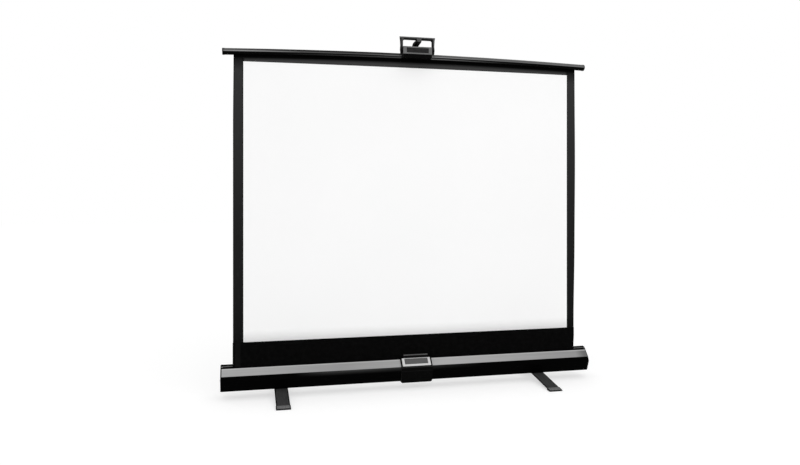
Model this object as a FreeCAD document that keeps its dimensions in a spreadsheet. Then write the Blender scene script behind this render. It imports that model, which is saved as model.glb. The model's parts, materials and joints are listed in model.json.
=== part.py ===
import FreeCAD, Part
import os
import re

import Sketcher

# Portable floor-standing projection screen, pulled up out of its case on a telescopic mast.
# Frame: X along the case, front towards -Y, +Z up, origin on the floor under the case's middle.
# All sizes in millimetres.

SIZES = {
    # sheet
    "white_width": 1500,
    "white_height": 1200,
    "white_bulge": 2.4,
    "border_width": 37.5,
    "top_border": 48.7,
    "drop_show": 97,
    "drop_overlap": 2,
    "sheet_thickness": 0.5,
    "mask_thickness": 0.3,
    # roller and its ends
    "roller_radius": 19,
    "roller_wall": 1.5,
    "roller_back": 6,
    "roller_rise": 4,
    "roller_margin": 7.5,
    "roller_end_room": 37,
    "roll_thickness": 0.95,
    "roll_gap": 0.3,
    "fit_gap": 0.05,
    "plug_depth": 22,
    "plug_flange": 3,
    "shaft_radius": 5,
    "shaft_gap": 0.08,
    "shaft_past": 8.7,
    "idle_depth": 14,
    "spring_length": 190,
    "spring_wall": 3,
    "spring_seat_gap": 0.3,
    "bracket_thickness": 3,
    "bracket_side_gap": 14.5,
    "bracket_below": 24,
    "bracket_top_gap": 1,
    # case extrusion: each step of its half section, from the bottom up
    "case_wall": 2.2,
    "case_bottom": 35,
    "case_belly_rise": 47,
    "case_belly_run": 18.5,
    "case_shoulder_rise": 19,
    "case_shoulder_run": 9,
    "case_bevel_rise": 26.5,
    "case_bevel_run": 25,
    "case_lip_rise": 11,
    "case_dome_rise": 7,
    "case_edge_round": 3,
    "slot_front_gap": 5.5,
    "slot_rear_gap": 4.5,
    "slot_rim": 2.5,
    "slot_land_rise": 2.5,
    # end caps
    "cap_thickness": 10,
    "cap_round": 3.5,
    "cap_lip_depth": 8,
    "cap_lip_gap": 0.15,
    "cap_lip_side_share": 1.2,
    "cap_crown_rise": 13.5,
    "cap_screw_head_radius": 3.6,
    "cap_screw_head_height": 1.8,
    "cap_screw_radius": 1.6,
    "cap_screw_rise": 2,
    "cap_screw_inset": 19.5,
    "screw_hole_gap": 0.1,
    # collar round the middle of the case
    "collar_width": 143,
    "collar_drop": 8,
    "collar_wall": 3.5,
    "collar_bevel_wall": 5,
    "collar_bevel_lift": 0.3,
    "collar_land_rise": 5.5,
    "collar_land_depth": 3,
    "collar_chamfer": 5,
    "boss_rise": 4.5,
    "boss_setback": 2,
    "boss_margin": 1.1,
    "boss_foot_rise": 14,
    "plate_margin": 2,
    "plate_side_margin": 7,
    "plate_frame_side": 11,
    "plate_frame_low": 9,
    "plate_frame_top": 2,
    "plate_frame_rise": 1.8,
    "plate_rise": 1,
    "catch_side_margin": 16,
    "catch_rise": 15,
    "catch_thickness": 2,
    "catch_lip": 1.2,
    "catch_lip_height": 4,
    "collar_screw_radius": 2,
    "collar_screw_head": 4,
    "collar_screw_drop": 2,
    "collar_screw_past": 1.8,
    "collar_screw_inset": 18,
    "collar_screw_out": 18,
    # top bar
    "bar_margin": 37.5,
    "bar_rise": 13.5,
    "bar_radius": 14,
    "bar_wall": 1.5,
    "bar_slot_width": 2.4,
    "tip_length": 10,
    "tip_lip": 0.7,
    "tip_plug": 18,
    "tip_round": 3,
    "rod_radius": 2.6,
    "rod_seat_gap": 0.5,
    "hem_gap": 0.3,
    # handle on the bar; its middle is also the collar's
    "handle_side": 6,
    "block_width": 131,
    "block_height": 33,
    "block_lift": 3.8,
    "block_front": 50,
    "block_depth": 13,
    "block_round": 1.5,
    "post_waist": 12,
    "post_flare": 13.5,
    "post_top": 15.5,
    "post_foot_lift": 2,
    "handle_window": 29.5,
    "handle_rail": 13.5,
    "handle_setback": 4,
    "handle_depth": 11,
    "handle_corner": 5,
    "handle_round": 2.5,
    "label_margin": 5.5,
    "label_side_margin": 15,
    "label_sink": 1.6,
    "label_thickness": 0.8,
    "saddle_lift": 2,
    "saddle_wall": 4,
    "saddle_setback": 2.5,
    "saddle_gap": 0.3,
    "handle_screw_radius": 2,
    "handle_screw_head": 3.8,
    "handle_screw_rise": 2.2,
    "handle_screw_inset": 20,
    # mast
    "mast_side": 12,
    "mast_back": 18.5,
    "lower_radius": 15,
    "tube_wall": 1.5,
    "bush_wall": 1.5,
    "slide_gap": 0.08,
    "mast_start_gap": 4,
    "lower_share": 0.36,
    "middle_share": 0.38,
    "lower_overlap": 80,
    "upper_overlap": 95,
    "upper_end_gap": 3,
    "bush_depth": 22,
    "bush_flange": 2,
    "slide_plug_depth": 16,
    "slide_plug_skirt": 8,
    "clamp_wall": 4.5,
    "clamp_height": 26,
    "clamp_drop": 3,
    "clamp_ear_half": 7,
    "clamp_ear_past_pin": 4,
    "clamp_ear_height": 11,
    "clamp_split": 3,
    "lever_pin_radius": 2.5,
    "lever_pin_out": 9,
    "lever_pin_past": 1.5,
    "lever_boss_radius": 6,
    "lever_cheek": 4.5,
    "lever_cheek_gap": 0.4,
    "lever_length": 40,
    "lever_plate": 3.5,
    "lever_plate_out": 8.5,
    "mast_bracket_width": 36,
    "mast_base_tab": 15,
    "mast_bracket_wall": 3,
    "mast_bracket_height": 52,
    "mast_bracket_gap": 0.4,
    "pivot_pin_radius": 4,
    "pivot_pin_height": 27,
    "pivot_pin_head": 6.5,
    "pivot_head_rise": 2.5,
    "bracket_screw_radius": 2,
    "bracket_screw_head": 4,
    "bracket_screw_rise": 2.4,
    "bracket_screw_length": 10.5,
    # gooseneck head: its heights are measured from the floor of the saddle that holds the rail
    "head_socket_wall": 5,
    "head_socket_depth": 29,
    "head_width": 24,
    "head_round": 1.5,
    "head_stem_wall": 2,
    "head_stem": 15,
    "neck_rise": 35.2,
    "neck_bend_front": 10,
    "neck_bend_over": 5,
    "neck_bend_under_share": 0.7,
    "neck_bend_over_share": 0.27,
    "neck_depth": 14.2,
    "neck_lift": 1.3,
    "neck_tip_depth": 8.2,
    "saddle_clearance": 0.3,
    "head_wall": 5,
    "head_wall_rise": 6.8,
    "lip_thickness": 3.6,
    "lip_top_width": 27,
    "lip_bottom_width": 12,
    "lip_rise": 12.3,
    "lip_depth": 7.2,
    # feet
    "foot_inset": 242,
    "foot_width": 57,
    "foot_reach": 230,
    "foot_flat_half": 34,
    "foot_thickness": 3,
    "foot_tip_top": 5.8,
    "foot_end_gap": 8,
    "tip_cap_depth": 30,
    "tip_cap_wall": 1.3,
    "tip_nose_height": 4,
    "pad_thickness": 1.4,
    "pad_length": 20,
    "pad_inset": 4,
    "pad_side_inset": 5,
    "foot_bolt_radius": 5,
    "foot_bolt_head": 10,
    "foot_bolt_head_height": 4,
    "foot_bolt_gap": 0.3,
    "foot_nut_radius": 8,
    "foot_nut_height": 5,
    "foot_washer_radius": 20,
    "foot_washer_thickness": 1,
    # how far a cutting shape runs past what it cuts
    "overrun": 5,
}

# Sizes and places that follow from the ones above.
DERIVED = {
    # widths, from the white area out to the feet
    "sheet_width": "(white_width + 2 * border_width)",
    "roller_length": "(sheet_width + 2 * roller_margin)",
    "case_length": "(roller_length + 2 * roller_end_room)",
    "bar_length": "(sheet_width + 2 * bar_margin)",
    "foot_side": "(case_length / 2 - foot_inset)",
    # the sheet comes up off the front of the roll, and the case stands round it
    "roll_radius": "(roller_radius + roll_thickness)",
    "sheet_back": "(roll_radius + roll_gap + sheet_thickness / 2 - roller_back)",
    "case_bevel_top_half": "(sheet_back + slot_front_gap + slot_rim)",
    "case_bevel_low_half": "(case_bevel_top_half + case_bevel_run)",
    "case_nose_half": "(case_bevel_low_half + case_shoulder_run)",
    "case_bottom_half": "(case_nose_half - case_belly_run)",
    # heights, from the floor up
    "foot_top": "(case_bottom - foot_washer_thickness)",
    "case_nose_height": "(case_bottom + case_belly_rise)",
    "case_bevel_low_height": "(case_nose_height + case_shoulder_rise)",
    "case_bevel_top_height": "(case_bevel_low_height + case_bevel_rise)",
    "case_lip_height": "(case_bevel_top_height + case_lip_rise)",
    "slot_land_height": "(case_bevel_top_height + slot_land_rise)",
    "roller_height": "(case_nose_height + roller_rise)",
    "white_bottom": "(case_lip_height + drop_show)",
    "white_top": "(white_bottom + white_height)",
    "bar_height": "(white_top + top_border)",
    # end caps and what their screws hold
    "cap_crown_height": "(case_bevel_top_height + cap_crown_rise)",
    "cap_screw_height": "(case_nose_height + cap_screw_rise)",
    "cap_screw_half": "(case_nose_half - cap_screw_inset)",
    "cap_screw_length": "(cap_thickness + cap_lip_depth + bracket_thickness)",
    "bracket_half_width": "(case_nose_half - bracket_side_gap)",
    "shaft_room": "(roller_end_room - cap_lip_depth)",
    "shaft_reach": "(shaft_room + plug_depth + spring_seat_gap + spring_length + shaft_past)",
    "idle_reach": "(shaft_room + idle_depth - bracket_thickness)",
    # collar
    "collar_bottom": "(case_bottom - collar_drop)",
    "collar_bottom_half": "(case_bottom_half + collar_wall)",
    "collar_nose_half": "(case_nose_half + collar_wall)",
    "collar_bevel_half": "(case_bevel_low_half + collar_bevel_wall)",
    "collar_bevel_height": "(case_bevel_low_height + collar_bevel_lift)",
    "collar_land_height": "(case_bevel_top_height + collar_land_rise)",
    "collar_land_rear": "(sheet_back + slot_front_gap + collar_land_depth)",
    "collar_slope_run": "(collar_bevel_half - collar_land_rear)",
    "collar_slope_rise": "(collar_land_height - collar_bevel_height)",
    "collar_screw_half": "(collar_width / 2 - collar_screw_inset)",
    "collar_screw_length": "(collar_drop + case_wall + collar_screw_past)",
    "boss_height": "(case_lip_height + boss_rise)",
    "boss_front": "(sheet_back - slot_rear_gap - boss_setback)",
    "boss_rear": "(mast_back + lower_radius + mast_bracket_gap + mast_bracket_wall + boss_margin)",
    "boss_foot_height": "(case_bevel_low_height + boss_foot_rise)",
    "plate_width": "(collar_width - 2 * plate_side_margin)",
    "plate_height": "(sqrt(collar_slope_run ^ 2 + collar_slope_rise ^ 2) - 2 * plate_margin)",
    "catch_width": "(collar_width - 2 * catch_side_margin)",
    "catch_top": "(collar_land_height + catch_rise)",
    # inside the bar
    "tip_radius": "(bar_radius + tip_lip)",
    "rod_below": "(bar_radius - bar_wall - rod_radius - rod_seat_gap)",
    "hem_below": "(rod_below + rod_radius + hem_gap)",
    # handle
    "saddle_bottom": "(bar_height - bar_radius + saddle_lift)",
    "saddle_top": "(bar_height + bar_radius + saddle_wall)",
    "saddle_front": "(block_front - saddle_setback)",
    "block_bottom": "(bar_height + block_lift)",
    "block_top": "(block_bottom + block_height)",
    "handle_top": "(block_top + handle_window + handle_rail)",
    "handle_post_foot": "(block_bottom + post_foot_lift)",
    "handle_front": "(block_front - handle_setback)",
    "handle_width": "(block_width + 2 * post_top)",
    "handle_flare": "(block_width + 2 * post_flare)",
    "handle_waist": "(block_width + 2 * post_waist)",
    "handle_screw_half": "(block_width / 2 - handle_screw_inset)",
    "label_width": "(block_width - 2 * label_side_margin)",
    "label_height": "(block_height - 2 * label_margin)",
    # mast head, set by the rail that it holds
    "rail_floor": "(handle_top - handle_rail - saddle_clearance)",
    "neck_under": "(rail_floor - neck_depth)",
    "neck_over": "(rail_floor + neck_lift)",
    "neck_tip_under": "(rail_floor - neck_tip_depth)",
    "head_wall_top": "(rail_floor + head_wall_rise)",
    "lip_top": "(rail_floor + lip_rise)",
    "lip_bottom": "(rail_floor - lip_depth)",
    "head_bend_start": "(rail_floor - neck_rise)",
    "head_stem_start": "(head_bend_start - head_stem)",
    "head_stem_half": "(upper_radius + head_stem_wall)",
    "head_socket_start": "(head_bend_start - head_socket_depth)",
    "head_socket_radius": "(upper_radius + head_socket_wall)",
    # mast tubes, each a share of the way from the bracket to the head
    "middle_radius": "(lower_radius - tube_wall - bush_wall)",
    "upper_radius": "(middle_radius - tube_wall - bush_wall)",
    "lower_start": "(boss_height + mast_bracket_wall + mast_start_gap)",
    "upper_top": "(head_bend_start - upper_end_gap)",
    "lower_top": "(lower_start + lower_share * (upper_top - lower_start))",
    "middle_start": "(lower_top - lower_overlap)",
    "middle_top": "(middle_start + middle_share * (upper_top - lower_start))",
    "upper_start": "(middle_top - upper_overlap)",
    "mast_base_width": "(mast_bracket_width + 2 * mast_base_tab)",
    "bracket_screw_half": "((mast_bracket_width + mast_base_tab) / 2)",
}

document = FreeCAD.newDocument("ProjectionScreen")
sheet = document.addObject("Spreadsheet::Sheet", "Sizes")
for row, (alias, size) in enumerate(SIZES.items(), start=1):
    sheet.set("A%d" % row, alias)
    sheet.set("B%d" % row, str(size))
    sheet.setAlias("B%d" % row, alias)
document.recompute()

VECTOR = FreeCAD.Vector
NODES = {}
PLANES = {"XY": "XY_Plane", "XZ": "XZ_Plane", "YZ": "YZ_Plane"}


def cell(match):
    """One word of a formula, as the spreadsheet cell or the formula that it stands for."""
    word = match.group()
    if word in DERIVED:
        return linked(DERIVED[word])
    return "Sizes." + word if word in SIZES else word


def linked(formula):
    """Write each size in a formula as the spreadsheet cell that holds it."""
    return re.sub(r"[a-z][a-z_0-9]+", cell, formula)


def value(formula):
    """Number that a formula of sizes gives."""
    result = sheet.evalExpression(linked(formula))
    return float(getattr(result, "Value", result))


def bind(piece, prop, formula):
    piece.setExpression(prop, linked(formula))


def place(piece, base, axis=None, angle=0):
    """Put a piece at a point given by three formulas, turned about a main axis."""
    turn = FreeCAD.Rotation(VECTOR(axis), angle) if axis else FreeCAD.Rotation()
    piece.Placement = FreeCAD.Placement(VECTOR(), turn)
    for letter, formula in zip("xyz", base):
        bind(piece, ".Placement.Base." + letter, formula)


def keep(name, piece):
    """Give a finished piece the name of its node."""
    piece.Label = name
    NODES[name] = piece
    return piece


def box(name, low, high):
    """Box between two corners, each given by three formulas."""
    piece = document.addObject("Part::Box", name)
    for prop, a, b in zip(("Length", "Width", "Height"), low, high):
        bind(piece, prop, "(%s) - (%s)" % (b, a))
    place(piece, low)
    return piece


QUARTER_TURN = 90
ALONG = {"X": ((0, 1, 0), QUARTER_TURN), "Y": ((1, 0, 0), -QUARTER_TURN), "Z": (None, 0)}


def rod(name, radius, length, base, along="Z"):
    """Round bar from a base point along a main axis."""
    piece = document.addObject("Part::Cylinder", name)
    bind(piece, "Radius", radius)
    bind(piece, "Height", length)
    place(piece, base, *ALONG[along])
    return piece


def fuse(name, *pieces):
    piece = document.addObject("Part::MultiFuse", name)
    piece.Shapes = list(pieces)
    return piece


def group(name, *pieces):
    """Separate solids that share one node."""
    piece = document.addObject("Part::Compound", name)
    piece.Links = list(pieces)
    return piece


def cut(name, base, *tools):
    piece = document.addObject("Part::Cut", name)
    piece.Base = base
    piece.Tool = tools[0] if len(tools) == 1 else fuse(name + "_tools", *tools)
    return piece


def pipe(name, outer, inner, length, base, along="Z"):
    """Tube: a round bar less its bore, which runs past both ends."""
    outside = rod(name + "_outside", outer, length, base, along)
    start = list(base)
    index = "XYZ".index(along)
    start[index] = "%s - overrun" % base[index]
    bore = rod(name + "_bore", inner, "%s + 2 * overrun" % length, start, along)
    return cut(name, outside, bore)


def fix_point(sketch, geometry, vertex, x_formula, y_formula):
    """Tie one vertex of a sketch to two formulas, measured from the sketch's origin."""
    for kind, formula in (("DistanceX", x_formula), ("DistanceY", y_formula)):
        index = sketch.addConstraint(
            Sketcher.Constraint(kind, -1, 1, geometry, vertex, value(formula)))
        bind(sketch, "Constraints[%d]" % index, formula)


def add_outline(sketch, outline):
    """Closed outline. An entry is a vertex (x, y), or (x, y, mid x, mid y) where an arc starts."""
    points = [VECTOR(value(entry[0]), value(entry[1]), 0) for entry in outline]
    ends = []
    for index, entry in enumerate(outline):
        start = points[index]
        finish = points[(index + 1) % len(points)]
        if len(entry) == 2:
            geometry = sketch.addGeometry(Part.LineSegment(start, finish), False)
            ends.append((geometry, 1, 2))
            continue
        middle = VECTOR(value(entry[2]), value(entry[3]), 0)
        geometry = sketch.addGeometry(Part.Arc(start, middle, finish), False)
        forward = sketch.getPoint(geometry, 1).distanceToPoint(start) < \
            sketch.getPoint(geometry, 1).distanceToPoint(finish)
        ends.append((geometry, 1, 2) if forward else (geometry, 2, 1))
        marker = sketch.addGeometry(Part.Point(middle), True)
        sketch.addConstraint(Sketcher.Constraint("PointOnObject", marker, 1, geometry))
        fix_point(sketch, marker, 1, entry[2], entry[3])
    for index, entry in enumerate(outline):
        geometry, first, last = ends[index]
        following = ends[(index + 1) % len(ends)]
        sketch.addConstraint(Sketcher.Constraint("Coincident", geometry, last,
                                                 following[0], following[1]))
        fix_point(sketch, geometry, first, entry[0], entry[1])


def new_sketch(body, name, plane):
    sketch = body.newObject("Sketcher::SketchObject", name)
    role = PLANES[plane]
    face = [f for f in body.Origin.OriginFeatures if f.Role == role][0]
    sketch.AttachmentSupport = [(face, "")]
    sketch.MapMode = "FlatFace"
    return sketch


def prism(name, plane, outlines, depth, base=("0", "0", "0")):
    """Body padded evenly to both sides of its sketch plane, then set at its base point."""
    body = document.addObject("PartDesign::Body", name)
    sketch = new_sketch(body, name + "_section", plane)
    for outline in outlines:
        add_outline(sketch, outline)
    pad = body.newObject("PartDesign::Pad", name + "_pad")
    pad.Profile = sketch
    pad.Midplane = True
    bind(pad, "Length", depth)
    place(body, base)
    document.recompute()
    return body


def turned(name, outline, base, axis=None, angle=0):
    """Body of revolution about the X axis of its own sketch."""
    body = document.addObject("PartDesign::Body", name)
    sketch = new_sketch(body, name + "_section", "XZ")
    add_outline(sketch, outline)
    turn = body.newObject("PartDesign::Revolution", name + "_turn")
    turn.Profile = sketch
    turn.ReferenceAxis = (sketch, ["H_Axis"])
    turn.Angle = 4 * QUARTER_TURN
    place(body, base, axis, angle)
    document.recompute()
    return body


def add_feature(body, kind, name, edges, prop, formula):
    """Round, chamfer or hollow a body at the named edges or faces of its last feature."""
    last = body.Tip
    feature = body.newObject("PartDesign::" + kind, name)
    feature.Base = (last, edges)
    bind(feature, prop, formula)
    body.Tip = feature
    document.recompute()
    return feature


def named_edges(body):
    return [("Edge%d" % n, edge) for n, edge in enumerate(body.Tip.Shape.Edges, start=1)]


def edges_along(body, direction, wanted=lambda x, y, z: True):
    """Straight edges of a body's last feature that run along a main axis."""
    axis = VECTOR(direction)
    names = []
    for name, edge in named_edges(body):
        first, last = edge.Vertexes[0].Point, edge.Vertexes[-1].Point
        run = last - first
        if run.Length > 0 and run.cross(axis).Length < value("fit_gap"):
            middle = (first + last) / 2
            if wanted(middle.x, middle.y, middle.z):
                names.append(name)
    return names


def rim_edges(body, axis, level):
    """Edges of a body's last feature on one flat face, at a level from the body's own middle."""
    return [name for name, edge in named_edges(body)
            if all(abs(getattr(vertex, axis) - level) < value("fit_gap")
                   for vertex in edge.Vertexes)]


SIDES = (("left", "-"), ("right", ""))
COLLAR_SCREWS = [("handle_side %s collar_screw_half" % x, y + "collar_screw_out")
                 for x in ("-", "+") for y in ("-", "")]


# Case

CASE_OUTLINE = [
    ("-case_bevel_top_half", "case_bevel_top_height"),
    ("-case_bevel_low_half", "case_bevel_low_height"),
    ("-case_nose_half", "case_nose_height"),
    ("-case_bottom_half", "case_bottom"),
    ("case_bottom_half", "case_bottom"),
    ("case_nose_half", "case_nose_height"),
    ("case_bevel_low_half", "case_bevel_low_height"),
    ("case_bevel_top_half", "case_bevel_top_height",
     "(case_bevel_top_half - sheet_back + slot_rear_gap) / 2",
     "(case_bevel_top_height + case_lip_height) / 2 + case_dome_rise"),
    ("-sheet_back + slot_rear_gap", "case_lip_height"),
    ("-sheet_back + slot_rear_gap", "slot_land_height"),
    ("-sheet_back - slot_front_gap", "slot_land_height"),
]
CASE_END = "case_length / 2"
CAP_END = "(case_length / 2 + cap_thickness)"


def case_solid(name, length, base=("0", "0", "0")):
    """The case's outer section as a solid bar, with its long edges rounded."""
    body = prism(name, "YZ", [CASE_OUTLINE], length, base)
    step = value("case_bevel_top_height")
    long_edges = edges_along(body, (1, 0, 0), lambda x, y, z: z < step + value("case_wall") / 2)
    add_feature(body, "Fillet", name + "_edges", long_edges, "Radius", "case_edge_round")
    return body


def make_case():
    body = case_solid("case_profile", "case_length")
    ends = []
    for number, face in enumerate(body.Tip.Shape.Faces, start=1):
        if abs(abs(face.CenterOfMass.x) - value(CASE_END)) < value("fit_gap"):
            ends.append("Face%d" % number)
    hollow = add_feature(body, "Thickness", "case_hollow", ends, "Value", "case_wall")
    hollow.Reversed = True
    hollow.Mode = 0
    hollow.Join = 1
    document.recompute()
    opening = box("case_slot",
                  ("-case_length / 2 - overrun", "-sheet_back - slot_front_gap",
                   "slot_land_height - 2 * case_wall"),
                  ("case_length / 2 + overrun", "-sheet_back + slot_rear_gap - case_wall",
                   "case_lip_height + overrun"))
    holes = [rod("case_foot_hole_" + side, "foot_bolt_radius + screw_hole_gap",
                 "case_wall + 2 * overrun",
                 (sign + "foot_side", "0", "case_bottom - overrun"))
             for side, sign in SIDES]
    holes += [rod("case_collar_hole_%d" % number, "collar_screw_radius + screw_hole_gap",
                  "case_wall + 2 * overrun", (x, y, "case_bottom - overrun"))
              for number, (x, y) in enumerate(COLLAR_SCREWS)]
    return keep("case_profile", cut("case", body, opening, *holes))


def make_caps():
    """End caps, each with a rounded rim outside and a lip inside the extrusion."""
    screws = []
    for side, sign in SIDES:
        middle = sign + "(case_length / 2 + cap_thickness / 2)"
        cap = prism("cap_%s_plate" % side, "YZ", [CAP_OUTLINE], "cap_thickness",
                    (middle, "0", "0"))
        add_feature(cap, "Fillet", "cap_%s_corners" % side,
                    edges_along(cap, (1, 0, 0)), "Radius", "case_edge_round")
        rim = rim_edges(cap, "X", value(sign + "cap_thickness / 2"))
        add_feature(cap, "Fillet", "cap_%s_rim" % side, rim, "Radius", "cap_round")
        lip_middle = sign + "(case_length / 2 - cap_lip_depth / 2)"
        lip = prism("cap_%s_lip" % side, "YZ", [LIP_OUTLINE], "cap_lip_depth",
                    (lip_middle, "0", "0"))
        holes = []
        for front, mark in (("front", "-"), ("rear", "")):
            y = mark + "cap_screw_half"
            inner = sign + "(case_length / 2 + cap_thickness - cap_screw_length)"
            inner_low = inner if side == "right" else "-case_length / 2 - cap_thickness"
            label = "cap_screw_%s_%s" % (side, front)
            shank = rod(label + "_shank", "cap_screw_radius", "cap_screw_length",
                        (inner_low, y, "cap_screw_height"), "X")
            head_low = CAP_END if side == "right" else "-%s - cap_screw_head_height" % CAP_END
            head = rod(label + "_head", "cap_screw_head_radius", "cap_screw_head_height",
                       (head_low, y, "cap_screw_height"), "X")
            screws.append(fuse(label, shank, head))
            holes.append(rod(label + "_hole", "cap_screw_radius + screw_hole_gap",
                             "2 * cap_screw_length",
                             (inner_low if side == "right" else inner_low + " - overrun",
                              y, "cap_screw_height"), "X"))
        keep("end_cap_" + side, cut("end_cap_" + side, fuse("cap_" + side, cap, lip), *holes))
    keep("end_cap_screws", group("end_cap_screws", *screws))


CAP_OUTLINE = CASE_OUTLINE[:8] + [("-sheet_back - slot_front_gap", "slot_land_height")]
CAP_OUTLINE[7] = ("case_bevel_top_half", "case_bevel_top_height", "0", "cap_crown_height")
INSET = "(case_wall + cap_lip_gap)"
LIP_OUTLINE = [
    ("-case_bottom_half + %s" % INSET, "case_bottom + %s" % INSET),
    ("case_bottom_half - %s" % INSET, "case_bottom + %s" % INSET),
    ("case_nose_half - cap_lip_side_share * %s" % INSET, "case_nose_height"),
    ("case_bevel_low_half - cap_lip_side_share * %s" % INSET, "case_bevel_low_height - %s" % INSET),
    ("-case_bevel_low_half + cap_lip_side_share * %s" % INSET, "case_bevel_low_height - %s" % INSET),
    ("-case_nose_half + cap_lip_side_share * %s" % INSET, "case_nose_height"),
]


# Roller inside the case

def make_roller():
    centre = ("roller_back", "roller_height")
    along_x = lambda x: (x,) + centre
    keep("roller_tube", pipe("roller_tube", "roller_radius", "roller_radius - roller_wall",
                             "roller_length", along_x("-roller_length / 2"), "X"))
    plugs = []
    for side, sign in SIDES:
        inner = "-roller_length / 2" if side == "left" else "roller_length / 2 - plug_depth"
        outer = "-roller_length / 2 - plug_flange" if side == "left" else "roller_length / 2"
        spigot = rod("plug_%s_spigot" % side, "roller_radius - roller_wall - fit_gap",
                     "plug_depth", along_x(inner), "X")
        flange = rod("plug_%s_flange" % side, "roller_radius", "plug_flange",
                     along_x(outer), "X")
        bore = rod("plug_%s_bore" % side, "shaft_radius + shaft_gap", "roller_length",
                   along_x("-roller_length" if side == "left" else "0"), "X")
        plugs.append(cut("plug_" + side, fuse("plug_%s_solid" % side, spigot, flange), bore))
    keep("roller_plugs", group("roller_plugs", *plugs))
    keep("fabric_roll", pipe("fabric_roll", "roll_radius", "roller_radius + fit_gap",
                             "sheet_width", along_x("-sheet_width / 2"), "X"))
    lip_end = "(case_length / 2 - cap_lip_depth)"
    keep("spring_shaft", rod("spring_shaft", "shaft_radius", "shaft_reach",
                             along_x("-" + lip_end), "X"))
    keep("idle_pin", rod("idle_pin", "shaft_radius", "idle_reach + bracket_thickness",
                         along_x(lip_end + " - idle_reach - bracket_thickness"), "X"))
    keep("torsion_spring", pipe("torsion_spring",
                                "shaft_radius + spring_seat_gap + spring_wall",
                                "shaft_radius + spring_seat_gap", "spring_length",
                                along_x("-roller_length / 2 + plug_depth + spring_seat_gap"),
                                "X"))
    for side, sign in SIDES:
        low = "-" + lip_end if side == "left" else lip_end + " - bracket_thickness"
        plate = box("bracket_%s_plate" % side,
                    (low, "-bracket_half_width", "roller_height - bracket_below"),
                    (low + " + bracket_thickness", "bracket_half_width",
                     "case_bevel_low_height - bracket_top_gap"))
        holes = [rod("bracket_%s_bore" % side, "shaft_radius + fit_gap",
                     "bracket_thickness + 2 * overrun", along_x(low + " - overrun"), "X")]
        for front, mark in (("front", "-"), ("rear", "")):
            holes.append(rod("bracket_%s_%s" % (side, front),
                             "cap_screw_radius + screw_hole_gap",
                             "bracket_thickness + 2 * overrun",
                             (low + " - overrun", mark + "cap_screw_half",
                              "cap_screw_height"), "X"))
        keep("roller_bracket_" + side, cut("roller_bracket_" + side, plate, *holes))


# Collar round the middle of the case

COLLAR_FRONT = [
    ("-sheet_back - slot_front_gap", "collar_land_height"),
    ("-collar_land_rear", "collar_land_height"),
    ("-collar_bevel_half", "collar_bevel_height"),
    ("-collar_nose_half", "case_nose_height"),
    ("-collar_bottom_half", "collar_bottom"),
    ("0", "collar_bottom"),
    ("0", "case_nose_height"),
    ("-sheet_back - slot_front_gap", "case_nose_height"),
]
COLLAR_REAR = [
    ("-boss_front", "boss_height"),
    ("-boss_front", "case_nose_height"),
    ("0", "case_nose_height"),
    ("0", "collar_bottom"),
    ("collar_bottom_half", "collar_bottom"),
    ("collar_nose_half", "case_nose_height"),
    ("collar_bevel_half", "collar_bevel_height"),
    ("boss_rear", "boss_foot_height"),
    ("boss_rear", "boss_height"),
]


CATCH_REAR = "-sheet_back - slot_front_gap"
CATCH_OUTLINE = [
    (CATCH_REAR, "collar_land_height"),
    (CATCH_REAR, "catch_top"),
    (CATCH_REAR + " - catch_thickness - catch_lip", "catch_top"),
    (CATCH_REAR + " - catch_thickness - catch_lip", "catch_top - catch_lip_height"),
    (CATCH_REAR + " - catch_thickness", "catch_top - catch_lip_height"),
    (CATCH_REAR + " - catch_thickness", "collar_land_height"),
]


def collar_shell(name, outline):
    middle = ("handle_side", "0", "0")
    body = prism(name + "_block", "YZ", [outline], "collar_width", middle)
    low = value("collar_bottom + fit_gap")
    ends = edges_along(body, (0, 1, 0), lambda x, y, z: z < low)
    add_feature(body, "Chamfer", name + "_corners", ends, "Size", "collar_chamfer")
    form = case_solid(name + "_case", "collar_width + 2 * overrun", middle)
    holes = [rod("%s_hole_%d" % (name, number), "collar_screw_radius + screw_hole_gap",
                 "collar_screw_length + overrun", (x, y, "collar_bottom - overrun"))
             for number, (x, y) in enumerate(COLLAR_SCREWS)]
    return cut(name, body, form, *holes)


def bevel_box(name, width, height, low, high, shift="0"):
    """Box that lies on the collar's front bevel, shifted up it from its middle."""
    slope = "atan(collar_slope_rise / collar_slope_run)"
    piece = document.addObject("Part::Box", name)
    bind(piece, "Length", width)
    bind(piece, "Width", height)
    bind(piece, "Height", "(%s) - (%s)" % (high, low))
    middle_y = "-(collar_bevel_half + collar_land_rear) / 2"
    middle_z = "(collar_land_height + collar_bevel_height) / 2"
    up = "(%s - (%s) / 2)" % (shift, height)
    base = ("handle_side - (%s) / 2" % width,
            "%s + %s * cos(%s) - (%s) * sin(%s)" % (middle_y, up, slope, low, slope),
            "%s + %s * sin(%s) + (%s) * cos(%s)" % (middle_z, up, slope, low, slope))
    place(piece, base, (1, 0, 0), value(slope))
    return piece


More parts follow.
